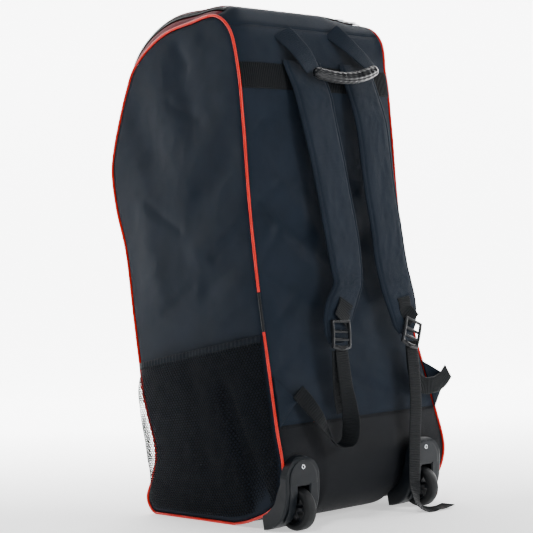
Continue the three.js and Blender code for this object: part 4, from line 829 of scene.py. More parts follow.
def add_stitches(name, rows, material):
    points, faces = [], []
    for line, normals, pitch in rows:
        middle = (line[1:] + line[:-1]) / 2
        direction = unit(line[1:] - line[:-1])
        normal = unit((normals[1:] + normals[:-1]) / 2)
        side = np.cross(direction, normal)
        half = STITCH_LENGTH * pitch / STITCH_PITCH / 2
        ends = [direction * half - normal * STITCH_HEIGHT * 0.6, side * STITCH_WIDTH / 2,
                -direction * half - normal * STITCH_HEIGHT * 0.6, -side * STITCH_WIDTH / 2,
                normal * STITCH_HEIGHT, -normal * STITCH_HEIGHT]
        for corners in zip(*(middle + end for end in ends)):
            base = len(points)
            points.extend(corners)
            for j in range(4):
                k = (j + 1) % 4
                faces.append([base + 4, base + j, base + k])
                faces.append([base + 5, base + k, base + j])
    add_piece(name, points, faces, material, uv=np.array(points)[:, [0, 2]])


def gusset_stitch(along, x, offset, colour="black"):
    along, x = np.broadcast_arrays(along, x)
    points = gusset(along, x, offset)
    at = outline_at(along)
    normals = np.stack([np.zeros(len(points)), at["ny"], at["nz"]], -1)
    stitch(points, normals, colour)


def across_line(along):
    INSET = 0.012
    z = float(outline_at(along)["z"])
    return np.linspace(-float(half_width(-1, z)) + INSET, float(half_width(1, z)) - INSET, 160)


# Body panels

BODY_END = LENGTH + SEAM["back_seam"]
TRIM = GAP / 2


BODY_PANELS = (
    ("back_panel", "back_seam", "top_seam", {"wear": 0.0024}),
    ("top_panel", "top_seam", "lid_rear", {"wear": 0.0012, "lip": LIP_HEIGHT}),
    ("front_upper", "lid_front", "accent_top", {"wear": 0.001, "seed": 3.0}),
    ("front_accent", "accent_top", "accent_foot", {"wear": 0.0008, "seed": 4.0}),
    ("front_panel", "accent_foot", "toe_seam", {"wear": 0.0022, "seed": 5.0}),
)


def add_body():
    for name, start, end, extra in BODY_PANELS:
        finish = (MAROON_CLOTH, "maroon_cloth") if name == "front_accent" else (BODY_CLOTH, "body_cloth")
        add_panel(name, SEAM[start] + TRIM, SEAM[end] - TRIM, *finish, **extra)
    for seam in ("back_seam", "top_seam", "accent_top", "accent_foot", "toe_seam"):
        for away in (-SEAM_STITCH, SEAM_STITCH):
            along = SEAM[seam] + away
            gusset_stitch(along, across_line(along), FABRIC / 2 - 0.0002)


def add_base():
    """The base has its wheel wells cut out of it."""
    points, uv = panel_grid(SEAM["toe_seam"] + TRIM, BODY_END - TRIM, wear=0.0006, seed=8.0)
    piece = sheet_grid("base_panel", points, BASE_CLOTH, uv=uv)
    WELL = 0.0070
    for side in (-1, 1):
        bpy.ops.mesh.primitive_cylinder_add(
            vertices=64,
            radius=WHEEL_RADIUS + WELL,
            depth=2 * (WHEEL_HALF + WELL),
            location=(side * abs(WHEEL_X), AXLE_Y, AXLE_Z),
            rotation=(0, math.pi / 2, 0),
        )
        cutter = bpy.context.object
        cut = piece.modifiers.new("well", "BOOLEAN")
        cut.operation = "DIFFERENCE"
        cut.solver = "EXACT"
        cut.object = cutter
        bpy.context.view_layer.objects.active = piece
        bpy.context.view_layer.update()
        apply_modifiers(piece)
        bpy.data.objects.remove(cutter)
    sharpen(piece, 50)


def apply_modifiers(piece):
    """The mesh as its modifiers leave it takes the place of the piece's mesh."""
    graph = bpy.context.evaluated_depsgraph_get()
    made = bpy.data.meshes.new_from_object(piece.evaluated_get(graph), depsgraph=graph)
    piece.modifiers.clear()
    piece.data = made


# Piping and its seam

def add_piping():
    SIDES = 14
    angles = np.arange(SIDES) * 2 * math.pi / SIDES

    def run(name, side, start, end, material, slot, closed=False):
        along = np.linspace(start, end, int((end - start) / 0.0035), endpoint=not closed)
        at = {key: value[:, None] for key, value in outline_at(along).items()}
        swell = 1 + 0.04 * np.sin(along * 60)[:, None]
        rise = seam_lift(side, at) + np.cos(angles)[None, :] * PIPING_RADIUS * swell
        x = side * (half_width(side, at["z"]) + np.sin(angles)[None, :] * PIPING_RADIUS * swell)
        sections = np.stack([x, at["y"] + at["ny"] * rise, at["z"] + at["nz"] * rise], -1)
        if side > 0:
            sections = sections[:, ::-1]
        if closed:
            sections = np.concatenate([sections, sections[:1]])
        tube_piece(name, sections, material, capped=not closed)

    foot, top = back_along(SPLICE_FOOT), back_along(SPLICE_TOP)
    run("piping_left", -1, top + TRIM, foot + LENGTH - TRIM, PIPING, "piping")
    run("piping_splice_left", -1, foot + TRIM, top - TRIM, SPLICE, "black_plastic")
    run("piping_right", 1, 0, LENGTH, PIPING, "piping", closed=True)


# Side panels: a relaxed grid between the back, the top, the front and the base of the outline

def seam_points(side, start, end, count):
    at = outline_at(np.linspace(start, end, count))
    inset = EDGE_INSET + GAP / 3 - seam_lift(side, at)
    return np.stack([at["y"] - at["ny"] * inset, at["z"] - at["nz"] * inset], -1)


def evened(grid, passes):
    """A grid whose inner points have moved towards the middle of their neighbours."""
    for _ in range(passes):
        grid[1:-1, 1:-1] = (grid[:-2, 1:-1] + grid[2:, 1:-1] + grid[1:-1, :-2] + grid[1:-1, 2:]) / 4
    return grid


def resized(grid, rows, count):
    r = np.linspace(0, grid.shape[0] - 1, rows)
    c = np.linspace(0, grid.shape[1] - 1, count)
    return sampled(grid, r[:, None], c[None, :])


def sampled(grid, row, column):
    """Values of a grid between its points."""
    row, column = np.broadcast_arrays(row, column)
    i = np.clip(row.astype(int), 0, grid.shape[0] - 2)
    j = np.clip(column.astype(int), 0, grid.shape[1] - 2)
    a, b = row - i, column - j
    if grid.ndim > 2:
        a, b = a[..., None], b[..., None]
    return ((grid[i, j] * (1 - b) + grid[i, j + 1] * b) * (1 - a)
            + (grid[i + 1, j] * (1 - b) + grid[i + 1, j + 1] * b) * a)


def relaxed_side(side):
    grid = None
    for level in (1, 2, 4, 8):
        rows, count = 20 * level + 1, 10 * level + 1
        rear = seam_points(side, SEAM["heel"], SEAM["lid_rear"], rows)
        front = seam_points(side, SEAM["toe"], SEAM["brow"], rows)
        if grid is None:
            share = np.linspace(0, 1, count)[None, :, None]
            grid = rear[:, None] * (1 - share) + front[:, None] * share
        else:
            grid = resized(grid, rows, count)
        grid[:, 0], grid[:, -1] = rear, front
        grid[0] = seam_points(side, LENGTH + SEAM["heel"], SEAM["toe"], count)
        grid[-1] = seam_points(side, SEAM["lid_rear"], SEAM["brow"], count)
        evened(grid, 260)
    return grid


SIDES = {side: relaxed_side(side) for side in (-1, 1)}


def side_place(side, forward, up):
    grid = SIDES[side]
    return sampled(grid, up * (grid.shape[0] - 1), forward * (grid.shape[1] - 1))


def side_dome(forward, up, place):
    across = np.sin(math.pi * np.clip(forward, 0, 1)) ** 0.7
    along = np.sin(math.pi * np.clip(up, 0, 1)) ** 0.5
    calm = np.clip((place[..., 1] - POCKET_BACK) / 0.06, 0, 1)
    fold = fold_height(SIDE_FOLDS, place[..., 0], place[..., 1], DEPTH)
    fold = fold + fold_height(SIDE_CREASES, place[..., 0], place[..., 1], DEPTH)
    return SIDE_DOME * across * along + fold * across * calm


def side_point(side, forward, up, offset):
    place = side_place(side, forward, up)
    x = half_width(side, place[..., 1]) + side_dome(forward, up, place) + offset
    return np.stack([side * x, place[..., 0], place[..., 1]], -1)


def add_side_panel(side, name):
    grid = SIDES[side]
    rows, count = grid.shape[:2]
    up = np.linspace(0, 1, rows)[:, None] + np.zeros((1, count))
    forward = np.linspace(0, 1, count)[None, :] + np.zeros((rows, 1))
    wide = np.linalg.norm(grid[:, 0] - grid[:, -1], axis=-1)[:, None]
    tall = np.linalg.norm(grid[0] - grid[-1], axis=-1)[None, :]
    edge = np.minimum(np.minimum(forward, 1 - forward) * wide, np.minimum(up, 1 - up) * tall)
    y, z = grid[..., 0], grid[..., 1]
    ease = smoothstep(0, 0.05, edge) * smoothstep(0.30, 0.42, z)
    seed = 21.0 if side < 0 else 27.0
    worn = 0.0026 * ease * (crinkle(y, z * 0.7, 0.13, seed) + 0.4 * crinkle(y, z, 0.05, seed + 3)
                            + 0.2 * crinkle(y + z, z - y, 0.06, seed + 5, sharp=True))
    points = side_point(side, forward, up, FABRIC / 2 + worn + edge_pinch(edge))
    sheet_grid(f"side_panel_{name}", points, BODY_CLOTH, flip=side < 0,
               uv=np.stack([y, z], -1))


# Net pockets

def hem_height(y):
    rear = float(outline_at(back_along(POCKET_BACK))["y"])
    front = POCKET_TOP_FORWARD * DEPTH
    return POCKET_BACK + (POCKET_FRONT - POCKET_BACK) * (y - rear) / (front - rear)


def hem_table(side):
    grid = SIDES[side]
    up = np.linspace(0, 1, grid.shape[0])
    shares = []
    for column in range(grid.shape[1]):
        y, z = grid[:, column].T
        shares.append(np.interp(0, z - hem_height(y), up))
    return np.linspace(0, 1, len(shares)), np.array(shares)


HEMS = {side: hem_table(side) for side in (-1, 1)}


def bulge_table():
    ups = np.linspace(0, 1, 81)
    forwards = np.linspace(0, 1, 81)
    stops = [0, 0.18, 0.6, 0.93, 1]
    rows = []
    for up in ups:
        middle = [np.interp(up, POCKET_ROWS["up"], POCKET_ROWS[key])
                  for key in ("rear", "middle", "near_front")]
        rows.append(np.interp(forwards, stops, [0, *middle, 0]))
    return evened(np.array(rows), 10)


BULGE = bulge_table()


def net_dent(forward, height):
    SQUASH = 0.7
    dent = 0
    for row in rows_of(NET_FOLDS):
        away = off_line(row["forward"], row["up"], row["to_forward"], row["to_up"], forward, height, SQUASH)
        dent = dent + row["deep"] * np.exp(-(away / row["wide"]) ** 2)
    return dent


def pocket_point(side, forward, height, offset):
    up = np.interp(forward, *HEMS[side]) * height
    mouth = np.sin(math.pi * np.clip(forward, 0, 1)) * MOUTH_GAP * np.clip(height, 0, 1) ** 6
    bulge = POCKET_BULGE * sampled(BULGE, np.clip(height, 0, 1) * 80, np.clip(forward, 0, 1) * 80)
    dent = np.minimum(net_dent(forward, height), 0.6 * bulge + 0.002)
    return side_point(side, forward, up, FABRIC / 2 + 1.5 * GAP + offset + bulge + mouth - dent)


def add_net(side, name):
    """Cells of a net with six sides: threads with a ridge along the lattice, down to the edge of each hole."""
    wide = float(np.linalg.norm(side_place(side, 0.0, 0.15) - side_place(side, 1.0, 0.15)))
    across, up = int(wide / NET_ACROSS), int(POCKET_FRONT / NET_UP)
    corners = np.array([(0, 2), (1, 1), (1, -1), (0, -2), (-1, -1), (-1, 1)])
    cells = np.array([(2 * i + 1 + j % 2, 3 * j + 2) for j in range(up) for i in range(across - 1)])
    lattice = cells[:, None, :] + corners[None, :, :]
    keys, index = np.unique(lattice.reshape(-1, 2), axis=0, return_inverse=True)
    index = index.reshape(-1, 6)
    holes = (cells[:, None, :] + corners[None, :, :] * NET_HOLE).reshape(-1, 2)
    size = np.array([2.0 * across, 3.0 * up + 1.0])

    def placed(lattice_points, offset):
        REAR, DEEP = 0.010, 0.980
        FOOT, TALL = 0.026, 0.935
        WOBBLE = 0.0012
        share = lattice_points / size
        forward = REAR + DEEP * share[:, 0]
        height = FOOT + TALL * share[:, 1]
        wobble = WOBBLE * crinkle(forward * 0.42, height * 0.3, 0.022, 40.0)
        return pocket_point(side, forward, height, offset + wobble)

    front = placed(keys, NET_THREAD)
    back = placed(keys, 0.0)
    rims = placed(holes, NET_THREAD / 2)
    points = np.concatenate([front, back, rims])
    first_back, first_rim = len(front), 2 * len(front)
    faces = []
    edges = {}
    for cell, ring in enumerate(index.tolist()):
        rim = [first_rim + cell * 6 + k for k in range(6)]
        for k in range(6):
            n = (k + 1) % 6
            a, b = ring[k], ring[n]
            faces.append([a, b, rim[n], rim[k]])
            faces.append([first_back + b, first_back + a, rim[k], rim[n]])
            key = (min(a, b), max(a, b))
            edges[key] = None if key in edges else (a, b)
    for edge in edges.values():
        if edge:
            a, b = edge
            faces.append([b, a, first_back + a, first_back + b])
    if side < 0:
        faces = [face[::-1] for face in faces]
    add_piece(f"pocket_net_{name}", points, faces, NET)


def add_hem(side, name):
    """A hem with a padded section, gathered a little along its length and sewn near both edges."""
    START = 0.958
    GATHER = 0.0006
    forward = np.linspace(0.010, 0.990, 150)[None, :]
    rise = np.array([0, 0.0008, 0.003, 0.006, 0.009, 0.0112, HEM_HEIGHT])[:, None]
    puff = np.array([0, 0.0007, 0.0012, 0.0009, 0.0012, 0.0007, 0])[:, None]
    out = HEM_THICKNESS + puff + GATHER * np.sin(forward * 240)
    points = pocket_point(side, forward + 0 * rise, START + 0 * rise, out)
    points[..., 2] += rise
    sheet_grid(f"pocket_hem_{name}", points, HEM_CLOTH, flip=side < 0, thickness=HEM_THICKNESS)
    for row in (1, 5):
        normals = np.tile([side, 0, 0], (points.shape[1], 1)).astype(float)
        stitch(points[row] + normals * 0.0002, normals)


# Lid: strips of cloth, the zip with its teeth, and the flap

ZIP_OUTER = EDGE_INSET + STRIP_WIDTH + GAP
ZIP_INNER = ZIP_OUTER + ZIP_WIDTH
LID_INSET = ZIP_INNER - ZIP_COVER
LID_START = SEAM["lid_rear"] + TRIM
LID_END = SEAM["lid_front"] - TRIM


def add_lid():
    across = WIDTH - EDGE_INSET
    for name, inset, inset_end in (
        ("lid_strip_left", EDGE_INSET, across - STRIP_WIDTH),
        ("lid_strip_right", across - STRIP_WIDTH, EDGE_INSET),
    ):
        add_panel(name, LID_START, LID_END, MAROON_CLOTH, "maroon_cloth",
                  inset=inset, inset_end=inset_end, step=0.004)
    points, uv = panel_grid(LID_START + ZIP_WIDTH - ZIP_COVER, LID_END - TRIM, inset=LID_INSET,
                            offset=FABRIC / 2 + GAP + FABRIC, wear=0.0016, seed=31.0)
    sheet_grid("lid_flap", points, MAROON_CLOTH, uv=uv)
    run = np.linspace(LID_START + ZIP_WIDTH + 0.002, LID_END - 0.006, 120)
    inner = WIDTH / 2 - LID_INSET - SEAM_STITCH
    for side in (-1, 1):
        gusset_stitch(run, side * inner, FABRIC * 1.5 + GAP, "maroon")
        gusset_stitch(run, side * (WIDTH / 2 - EDGE_INSET - SEAM_STITCH), FABRIC / 2 - 0.0004, "maroon")
    rear = LID_START + ZIP_WIDTH - ZIP_COVER + SEAM_STITCH
    gusset_stitch(rear, np.linspace(-inner, inner, 120), FABRIC * 1.5 + GAP, "maroon")


def zip_line(inset, rear):
    """The zip's way: up the left side of the lid, across its rear edge and down the right side."""
    COUNT = 90
    side = WIDTH / 2 - inset
    left = np.stack([np.full(COUNT, -side), np.linspace(LID_END, rear, COUNT)], -1)
    middle = np.stack([np.linspace(-side, side, COUNT), np.full(COUNT, rear)], -1)[1:-1]
    right = np.stack([np.full(COUNT, side), np.linspace(rear, LID_END, COUNT)], -1)
    return np.concatenate([left, middle, right])


def add_zip():
    rails = [zip_line(ZIP_OUTER + ZIP_WIDTH * t, LID_START + ZIP_WIDTH * t)
             for t in (0, 0.12, 0.3, 0.42, 0.5, 0.58, 0.7, 0.88, 1)]
    lift = (0, 0.2, 0.25, 0.35, 0.5, 0.35, 0.25, 0.2, 0)
    grid = np.stack([gusset(rail[:, 1], rail[:, 0], FABRIC / 2 + h * MM - 0.0004)
                     for rail, h in zip(rails, lift)])
    sheet_grid("lid_zip", grid, TAPE, flip=True, thickness=0.0012)
    add_teeth()


def add_teeth():
    PITCH = 0.0022
    STAGGER = 0.0008
    ALONG_HALF, ACROSS_HALF, UP_HALF = 0.0008, 0.0017, 0.0006
    line = zip_line(ZIP_OUTER + ZIP_WIDTH / 2, LID_START + ZIP_WIDTH / 2)
    even = by_length(line, PITCH)
    middle = gusset(even[:, 1], even[:, 0], FABRIC / 2 + 0.0008)
    at = outline_at(even[:, 1])
    up = unit(np.stack([np.zeros(len(even)), at["ny"], at["nz"]], -1))
    direction = unit(np.gradient(middle, axis=0))
    side = np.cross(direction, up)
    points, faces = [], []
    cube = [(a, b, c) for c in (-1, 1) for a, b in ((-1, -1), (1, -1), (1, 1), (-1, 1))]
    quads = [(0, 3, 2, 1), (4, 5, 6, 7), (0, 1, 5, 4), (1, 2, 6, 5), (2, 3, 7, 6), (3, 0, 4, 7)]
    for i in range(len(even)):
        shift = side[i] * STAGGER * (1 if i % 2 else -1)
        base = len(points)
        for a, b, c in cube:
            points.append(middle[i] + shift + direction[i] * a * ALONG_HALF
                          + side[i] * b * ACROSS_HALF + up[i] * c * UP_HALF)
        faces.extend([base + k for k in quad] for quad in quads)
    add_piece("zip_teeth", np.array(points), faces, BUCKLE_PLASTIC, smooth=False)


# Webbing, straps and the band

def route_line(rows, samples=260):
    """A route's centres and its other columns, spread evenly along it."""
    knots = back_surface(rows["across"] * WIDTH, rows["up"] * HEIGHT,
                         FABRIC / 2 + rows["out"] * STRAP_STANDOFF)
    centres = spline(knots, samples)
    way = np.linspace(0, len(knots) - 1, samples)
    others = {key: np.interp(way, np.arange(len(knots)), rows[key])
              for key in rows if key not in ("across", "up", "out")}
    return centres, others


def strip_frames(centres, turn):
    """Unit vectors across a strip and off its face, at each of its centres."""
    tangent = unit(np.gradient(centres, axis=0))
    outward = unit(np.array([0, -1.0, 0]) + tangent * tangent[:, 1:2])
    across = unit(np.cross(tangent, outward))
    angle = np.radians(turn)[:, None]
    wide = across * np.cos(angle) + outward * np.sin(angle)
    return wide, unit(np.cross(wide, tangent))


def ribbed_strip(name, rows, width, thickness, material=BLACK_WEBBING, ribs=1.0):
    """Webbing with ribs across it, on a route or along a line that is given with its turns."""
    centres, others = route_line(rows) if isinstance(rows, dict) else rows
    even, values, way = by_length(centres, RIB_PITCH / 4, list(others.values()))
    values = dict(zip(others, values))
    wide, normal = strip_frames(even, values["turn"])
    half = width * values.get("wide", np.ones(len(even))) / 2
    rib = RIB_HEIGHT * ribs * np.cos(2 * math.pi * way / RIB_PITCH)
    section = [(-1, 0), (-0.97, 0.7), (-0.88, 1), (-0.5, 1), (0, 1), (0.5, 1), (0.88, 1), (0.97, 0.7),
               (1, 0), (0.97, -0.7), (0.88, -1), (0, -1), (-0.88, -1), (-0.97, -0.7)]
    rings = []
    for u, v in section:
        height = np.broadcast_to(v * (thickness / 2 + (rib if abs(v) > 0.9 else 0)), len(even))
        rings.append(even + wide * (u * half)[:, None] + normal * height[:, None])
    across = np.array([u for u, _ in section])[None, :] * half[:, None]
    uv = np.stack(np.broadcast_arrays(across, way[:, None]), -1)
    tube_piece(name, np.stack(rings, 1), material, uv=uv)


def stitch_sides(centres, wide, normal, width, height, sewn, pitch=STITCH_PITCH):
    """A row of stitches near each edge of a strip, over a stretch of its centres."""
    SHARE = 0.42
    for side in (-SHARE, SHARE):
        line = centres + wide * side * width + normal * height
        stitch(line[sewn], normal[sewn], pitch=pitch)


def add_band():
    foot = back_along(BAND_FOOT)
    height = SEAM["band_top"] - foot
    z = float(outline_at(foot)["z"])
    left, right = -float(half_width(-1, z)) + EDGE_INSET, float(half_width(1, z)) - EDGE_INSET
    x = np.arange(left, right, RIB_PITCH / 6)[None, :]
    share = np.array([0, 0.02, 0.06, 0.26, 0.5, 0.74, 0.94, 0.98, 1])[:, None]
    edge = height * share
    rib = RIB_HEIGHT * np.cos(2 * math.pi * x / RIB_PITCH) * np.clip(edge / 0.003, 0, 1)
    selvedge = np.where(np.abs(share - 0.5) > 0.47, -0.0006, 0)
    points = gusset(foot + edge + 0 * x, x + 0 * edge, FABRIC / 2 + GAP + WEBBING + rib + selvedge)
    sheet_grid("back_band", points, BLACK_WEBBING, thickness=WEBBING)
    for rise in (0.005, height - 0.005):
        gusset_stitch(foot + rise, np.linspace(left + 0.004, right - 0.004, 140),
                      FABRIC / 2 + GAP + WEBBING + RIB_HEIGHT)


SEAM_SHARE = 0.84
STRAP_LENGTH = 0.55


def strap_surface(rows, u, t, v):
    """Points of a strap: u across from -1 to 1, t along from 0 to 1, v from its back to its face."""
    count = 240
    knots = [rows["across"] * WIDTH, rows["off"] * STRAP_STANDOFF, rows["up"] * HEIGHT]
    middle = spline(np.stack(knots, -1), count)
    sizes = spline(np.stack([rows["wide"] * STRAP_WIDTH, rows["thick"] * STRAP_THICKNESS], -1), count)
    way = np.linspace(0, 1, count)
    across, out, up = (np.interp(t, way, column) for column in middle.T)
    width, thick = (np.interp(t, way, column) for column in sizes.T)
    off = FABRIC / 2 + out + thick / 2 * (1 + v)
    return back_surface(across + u * width / 2, up, off)


def strap_face(u):
    edge = np.clip(1 - np.abs(u) ** 6, 0, 1) ** 0.55
    seam = 0.42 * np.exp(-((np.abs(u) - SEAM_SHARE) / 0.035) ** 2)
    return edge - seam


def add_strap(name):
    rows = STRAPS[name]
    face = np.sin(np.linspace(-math.pi / 2, math.pi / 2, 41))
    back = np.sin(np.linspace(math.pi / 2, -math.pi / 2, 17))[1:-1]
    u = np.concatenate([face, back])[None, :]
    v = np.concatenate([strap_face(face), -np.clip(1 - np.abs(back) ** 8, 0, 1) ** 0.6])[None, :]
    t = np.linspace(0, 1, 190)[:, None]
    seed = 51.0 if name == "left" else 57.0
    ease = np.clip(np.minimum(t, 1 - t) * 8, 0, 1) * np.clip(v, 0, 1)
    across, along = np.broadcast_arrays(u * STRAP_WIDTH / 2, t * STRAP_LENGTH)
    worn = 0.16 * ease * crinkle(across, along, 0.035, seed)
    worn = worn + 0.10 * ease * crinkle(across + t * 0.2, along, 0.018, seed + 2, sharp=True)
    end = 1 - 0.9 * smoothstep(0.985, 1.0, t)
    sections = strap_surface(rows, u, t, v * end + worn)
    uv = np.stack([across, along], -1)
    strap = tube_piece(f"strap_{name}", sections[:, ::-1], STRAP_CLOTH, uv=uv[:, ::-1])
    run = np.linspace(0.012, 0.965, 170)
    for side in (-1, 1):
        points = strap_surface(rows, side * SEAM_SHARE + 0 * run, run, strap_face(SEAM_SHARE) + 0 * run)
        stitch(points, np.tile([0, -1.0, 0], (len(run), 1)))


PATCHES = {
    "left": {"start": 0.74, "end": 0.995, "u": 0.10, "width": 0.038},
    "right": {"start": 0.74, "end": 0.995, "u": 0.05, "width": 0.034},
}


def add_patch(name):
    """Webbing sewn on the strap's end, and on down to the top bar of the buckle."""
    rows, patch = STRAPS[name], PATCHES[name]
    run = np.linspace(patch["start"], patch["end"], 24)
    over = strap_surface(rows, patch["u"] + 0 * run, run, 1 + 0 * run)
    over[:, 1] -= WEBBING * 0.6
    bar = buckle_matrix(name) @ Vector((0, -BUCKLE_THICKNESS * 0.2, BUCKLE_HEIGHT / 2 - BUCKLE_BAR * 0.3))
    keep = over[over[:, 2] > bar.z + 0.016]
    centres = spline(np.vstack([keep[::3], np.array(bar)]), 120)
    turn = np.zeros(len(centres))
    ribbed_strip(f"webbing_patch_{name}", (centres, {"turn": turn}), patch["width"], WEBBING)
    wide, normal = strip_frames(centres, turn)
    stitch_sides(centres, wide, normal, patch["width"], WEBBING / 2 + RIB_HEIGHT, slice(3, 66), 0.003)


def add_webbing():
    for name, rows in (("loop_left", LOOP_LEFT), ("tail_left", TAIL_LEFT),
                       ("tail_right", TAIL_RIGHT), ("link_right", LINK_RIGHT)):
        ribbed_strip(f"webbing_{name}", rows, WEBBING_WIDTH, WEBBING)


# Grab handle

def add_handle():
    for name, rows in HANDLE_LEGS.items():
        ribbed_strip(f"handle_leg_{name}", rows, HANDLE_WIDTH, HANDLE_THICKNESS, STRAP_CLOTH, ribs=0.35)
        centres, others = route_line(rows)
        wide, normal = strip_frames(centres, others["turn"])
        width = HANDLE_WIDTH * others["wide"][:, None]
        stitch_sides(centres, wide, normal, width, HANDLE_THICKNESS / 2, slice(4, 230))
    add_grip()


def add_grip():
    """A moulded grip with long ridges, each broken into short swells."""
    SIDES = 96
    RIDGES = 8
    SWELL_PITCH = 0.014
    centres, others = route_line(GRIP_ROWS)
    even, (girth,), way = by_length(centres, 0.0011, [others["girth"]])
    tangent = unit(np.gradient(even, axis=0))
    outward = unit(np.array([0, -1.0, 0]) + tangent * tangent[:, 1:2])
    upward = unit(np.cross(outward, tangent))
    angle = np.arange(SIDES)[None, :] * 2 * math.pi / SIDES
    from_end = np.minimum(way, way[-1] - way)
    ends = np.clip(from_end / 0.012, 0, 1)[:, None]
    ridge = np.abs(np.cos(angle * RIDGES / 2)) ** 0.7
    swell = 0.5 + 0.5 * np.cos(2 * math.pi * way / SWELL_PITCH)[:, None]
    depth = 0.0016 * ends * (1 - ridge) + 0.0006 * ends * (1 - swell) * ridge
    end_round = np.sqrt(np.clip(1 - (1 - np.clip(from_end / 0.005, 0, 1)) ** 2, 0.12, 1))
    radius_up = (GRIP_HEIGHT * girth * end_round / 2)[:, None] + 0.0005 - depth
    radius_out = (GRIP_DEPTH * girth * end_round / 2)[:, None] + 0.0005 - depth
    sections = (even[:, None, :] + upward[:, None, :] * (np.cos(angle) * radius_up)[..., None]
                + outward[:, None, :] * (np.sin(angle) * radius_out)[..., None])
    tube_piece("handle_grip", sections, GRIP_RUBBER)


# Anchor tabs

TAB_THICKNESS = 0.0024


def add_tabs():
    LEFT_OUT = 0.006
    RIGHT_PAST, RIGHT_UP, RIGHT_OUT = 0.037, 0.014, 0.014
    off = FABRIC / 2 + GAP + TAB_THICKNESS / 2
    for side, name in ((-1, "left"), (1, "right")):
        def root(height):
            edge = side * (float(half_width(side, height)) - TAB_INSET)
            return back_surface(edge, height, off + 3 * GAP)

        if side < 0:
            point = back_surface(-WIDTH / 2 + TAB_REACH, TAB_POINT, off + LEFT_OUT)
        else:
            reach = float(half_width(1, TAB_POINT)) + RIGHT_PAST
            point = back_surface(reach, TAB_POINT + RIGHT_UP, off + RIGHT_OUT)
        add_tab(f"tab_{name}", root(TAB_TOP), root(TAB_FOOT), point)


def add_tab(name, top, foot, point):
    """A three-cornered tab with a soft fold from its point to its root."""
    count = 26
    grid = np.zeros((count, count, 3))
    normal = unit(np.cross(foot - top, point - top))
    if normal[1] > 0:
        normal = -normal
    for i, a in enumerate(np.linspace(0, 1, count)):
        start = top + (foot - top) * a
        for j, b in enumerate(np.linspace(0, 0.97, count)):
            swell = math.sin(math.pi * a) * (1 - b) * 0.003 + 0.0016 * math.cos(a * 9) * b * (1 - b) * 4
            grid[i, j] = start + (point - start) * b + normal * swell
    flip = point[0] > top[0]
    piece = sheet_grid(name, grid, BODY_CLOTH, flip=flip, thickness=TAB_THICKNESS)
    piece.modifiers["wall"].offset = 0
    for row in (2, count - 3):
        stitch(grid[row][1:] + normal * 0.0014, np.tile(normal, (count - 1, 1)), pitch=0.0034)


# Ladder-lock buckles in their own frame: +Z up along the strap, -Y away from the bag

BUCKLE_WIDTH = 0.048
BUCKLE_HEIGHT = 0.056
BUCKLE_THICKNESS = 0.006
BUCKLE_RAIL = 0.006
BUCKLE_WINDOW = 0.011
BUCKLE_BAR = 0.007


def buckle_matrix(name):
    row = BUCKLES[name]
    off = FABRIC / 2 + row["out"] * STRAP_STANDOFF
    place = back_surface(row["across"] * WIDTH, row["up"] * HEIGHT, off)
    tilt = Matrix.Rotation(math.radians(row["tilt"]), 4, "Y")
    lean = Matrix.Rotation(math.radians(-row["lean"]), 4, "X")
    return Matrix.Translation(Vector(place)) @ (tilt @ lean)


def rounded_bar(length, deep, tall, count=16):
    """Sections of a bar across, with an oval outline."""
    angle = np.arange(count) * 2 * math.pi / count
    rings = []
    for x in np.linspace(-1, 1, 15):
        rings.append(np.stack([np.full(count, x * length / 2), np.sin(angle) * deep / 2,
                               np.cos(angle) * tall / 2], -1))
    return np.stack(rings)


def add_buckle(name):
    matrix = np.array(buckle_matrix(name))
    parts = []
    half, top = BUCKLE_WIDTH / 2, BUCKLE_HEIGHT / 2
    for side in (-1, 1):
        rail = rounded_bar(BUCKLE_HEIGHT - 0.008, BUCKLE_THICKNESS, BUCKLE_RAIL)
        rail = rail[..., [2, 1, 0]]
        bow = np.sin(np.linspace(0, math.pi, rail.shape[0]))[:, None] * 0.0012
        rail[..., 1] -= bow
        rail[..., 0] += side * (half - BUCKLE_RAIL / 2)
        rail[..., 2] += 0.002
        parts.append(rail)
    heights = (top - BUCKLE_BAR / 2, top - BUCKLE_BAR * 1.5 - BUCKLE_WINDOW,
               top - BUCKLE_BAR * 2.5 - BUCKLE_WINDOW * 1.7)
    for height, deep, out in zip(heights, (1.0, 0.75, 0.9), (0.0, 0.0008, 0.0)):
        bar = rounded_bar(BUCKLE_WIDTH - 0.003, BUCKLE_THICKNESS * deep, BUCKLE_BAR * 0.8)
        bar[..., 1] += out
        bar[..., 2] += height
        parts.append(bar)
    lip = rounded_bar(BUCKLE_WIDTH - 0.002, BUCKLE_THICKNESS * 0.85, 0.009)
    sag = np.cos(np.linspace(-math.pi / 2, math.pi / 2, lip.shape[0]))[:, None]
    lip[..., 2] += -top + 0.0085 - sag * 0.0042
    lip[..., 1] -= sag * 0.0012
    parts.append(lip)
    for k in range(3):
        groove = rounded_bar(BUCKLE_WIDTH * (0.62 - 0.12 * k), 0.0022, 0.0013)
        dip = np.cos(np.linspace(-math.pi / 2, math.pi / 2, groove.shape[0]))[:, None]
        groove[..., 1] -= BUCKLE_THICKNESS * 0.42 + 0.0012 * dip
        groove[..., 2] += -top + 0.0098 - 0.0024 * k - dip * 0.0040
        parts.append(groove)
    points, faces = [], []
    for part in parts:
        add_part(points, faces, part, capped=True)
    points = np.concatenate(points) @ matrix[:3, :3].T + matrix[:3, 3]
    piece = add_piece(f"buckle_{name}", points, faces, BUCKLE_PLASTIC)
    face_outwards(piece)
    sharpen(piece, 50)


def face_outwards(piece):
    """Each loose shell of a mesh gets its faces turned outwards."""
    made = bmesh.new()
    made.from_mesh(piece.data)
    bmesh.ops.recalc_face_normals(made, faces=made.faces)
    made.to_mesh(piece.data)
    made.free()


# Wheels, housings and their trim

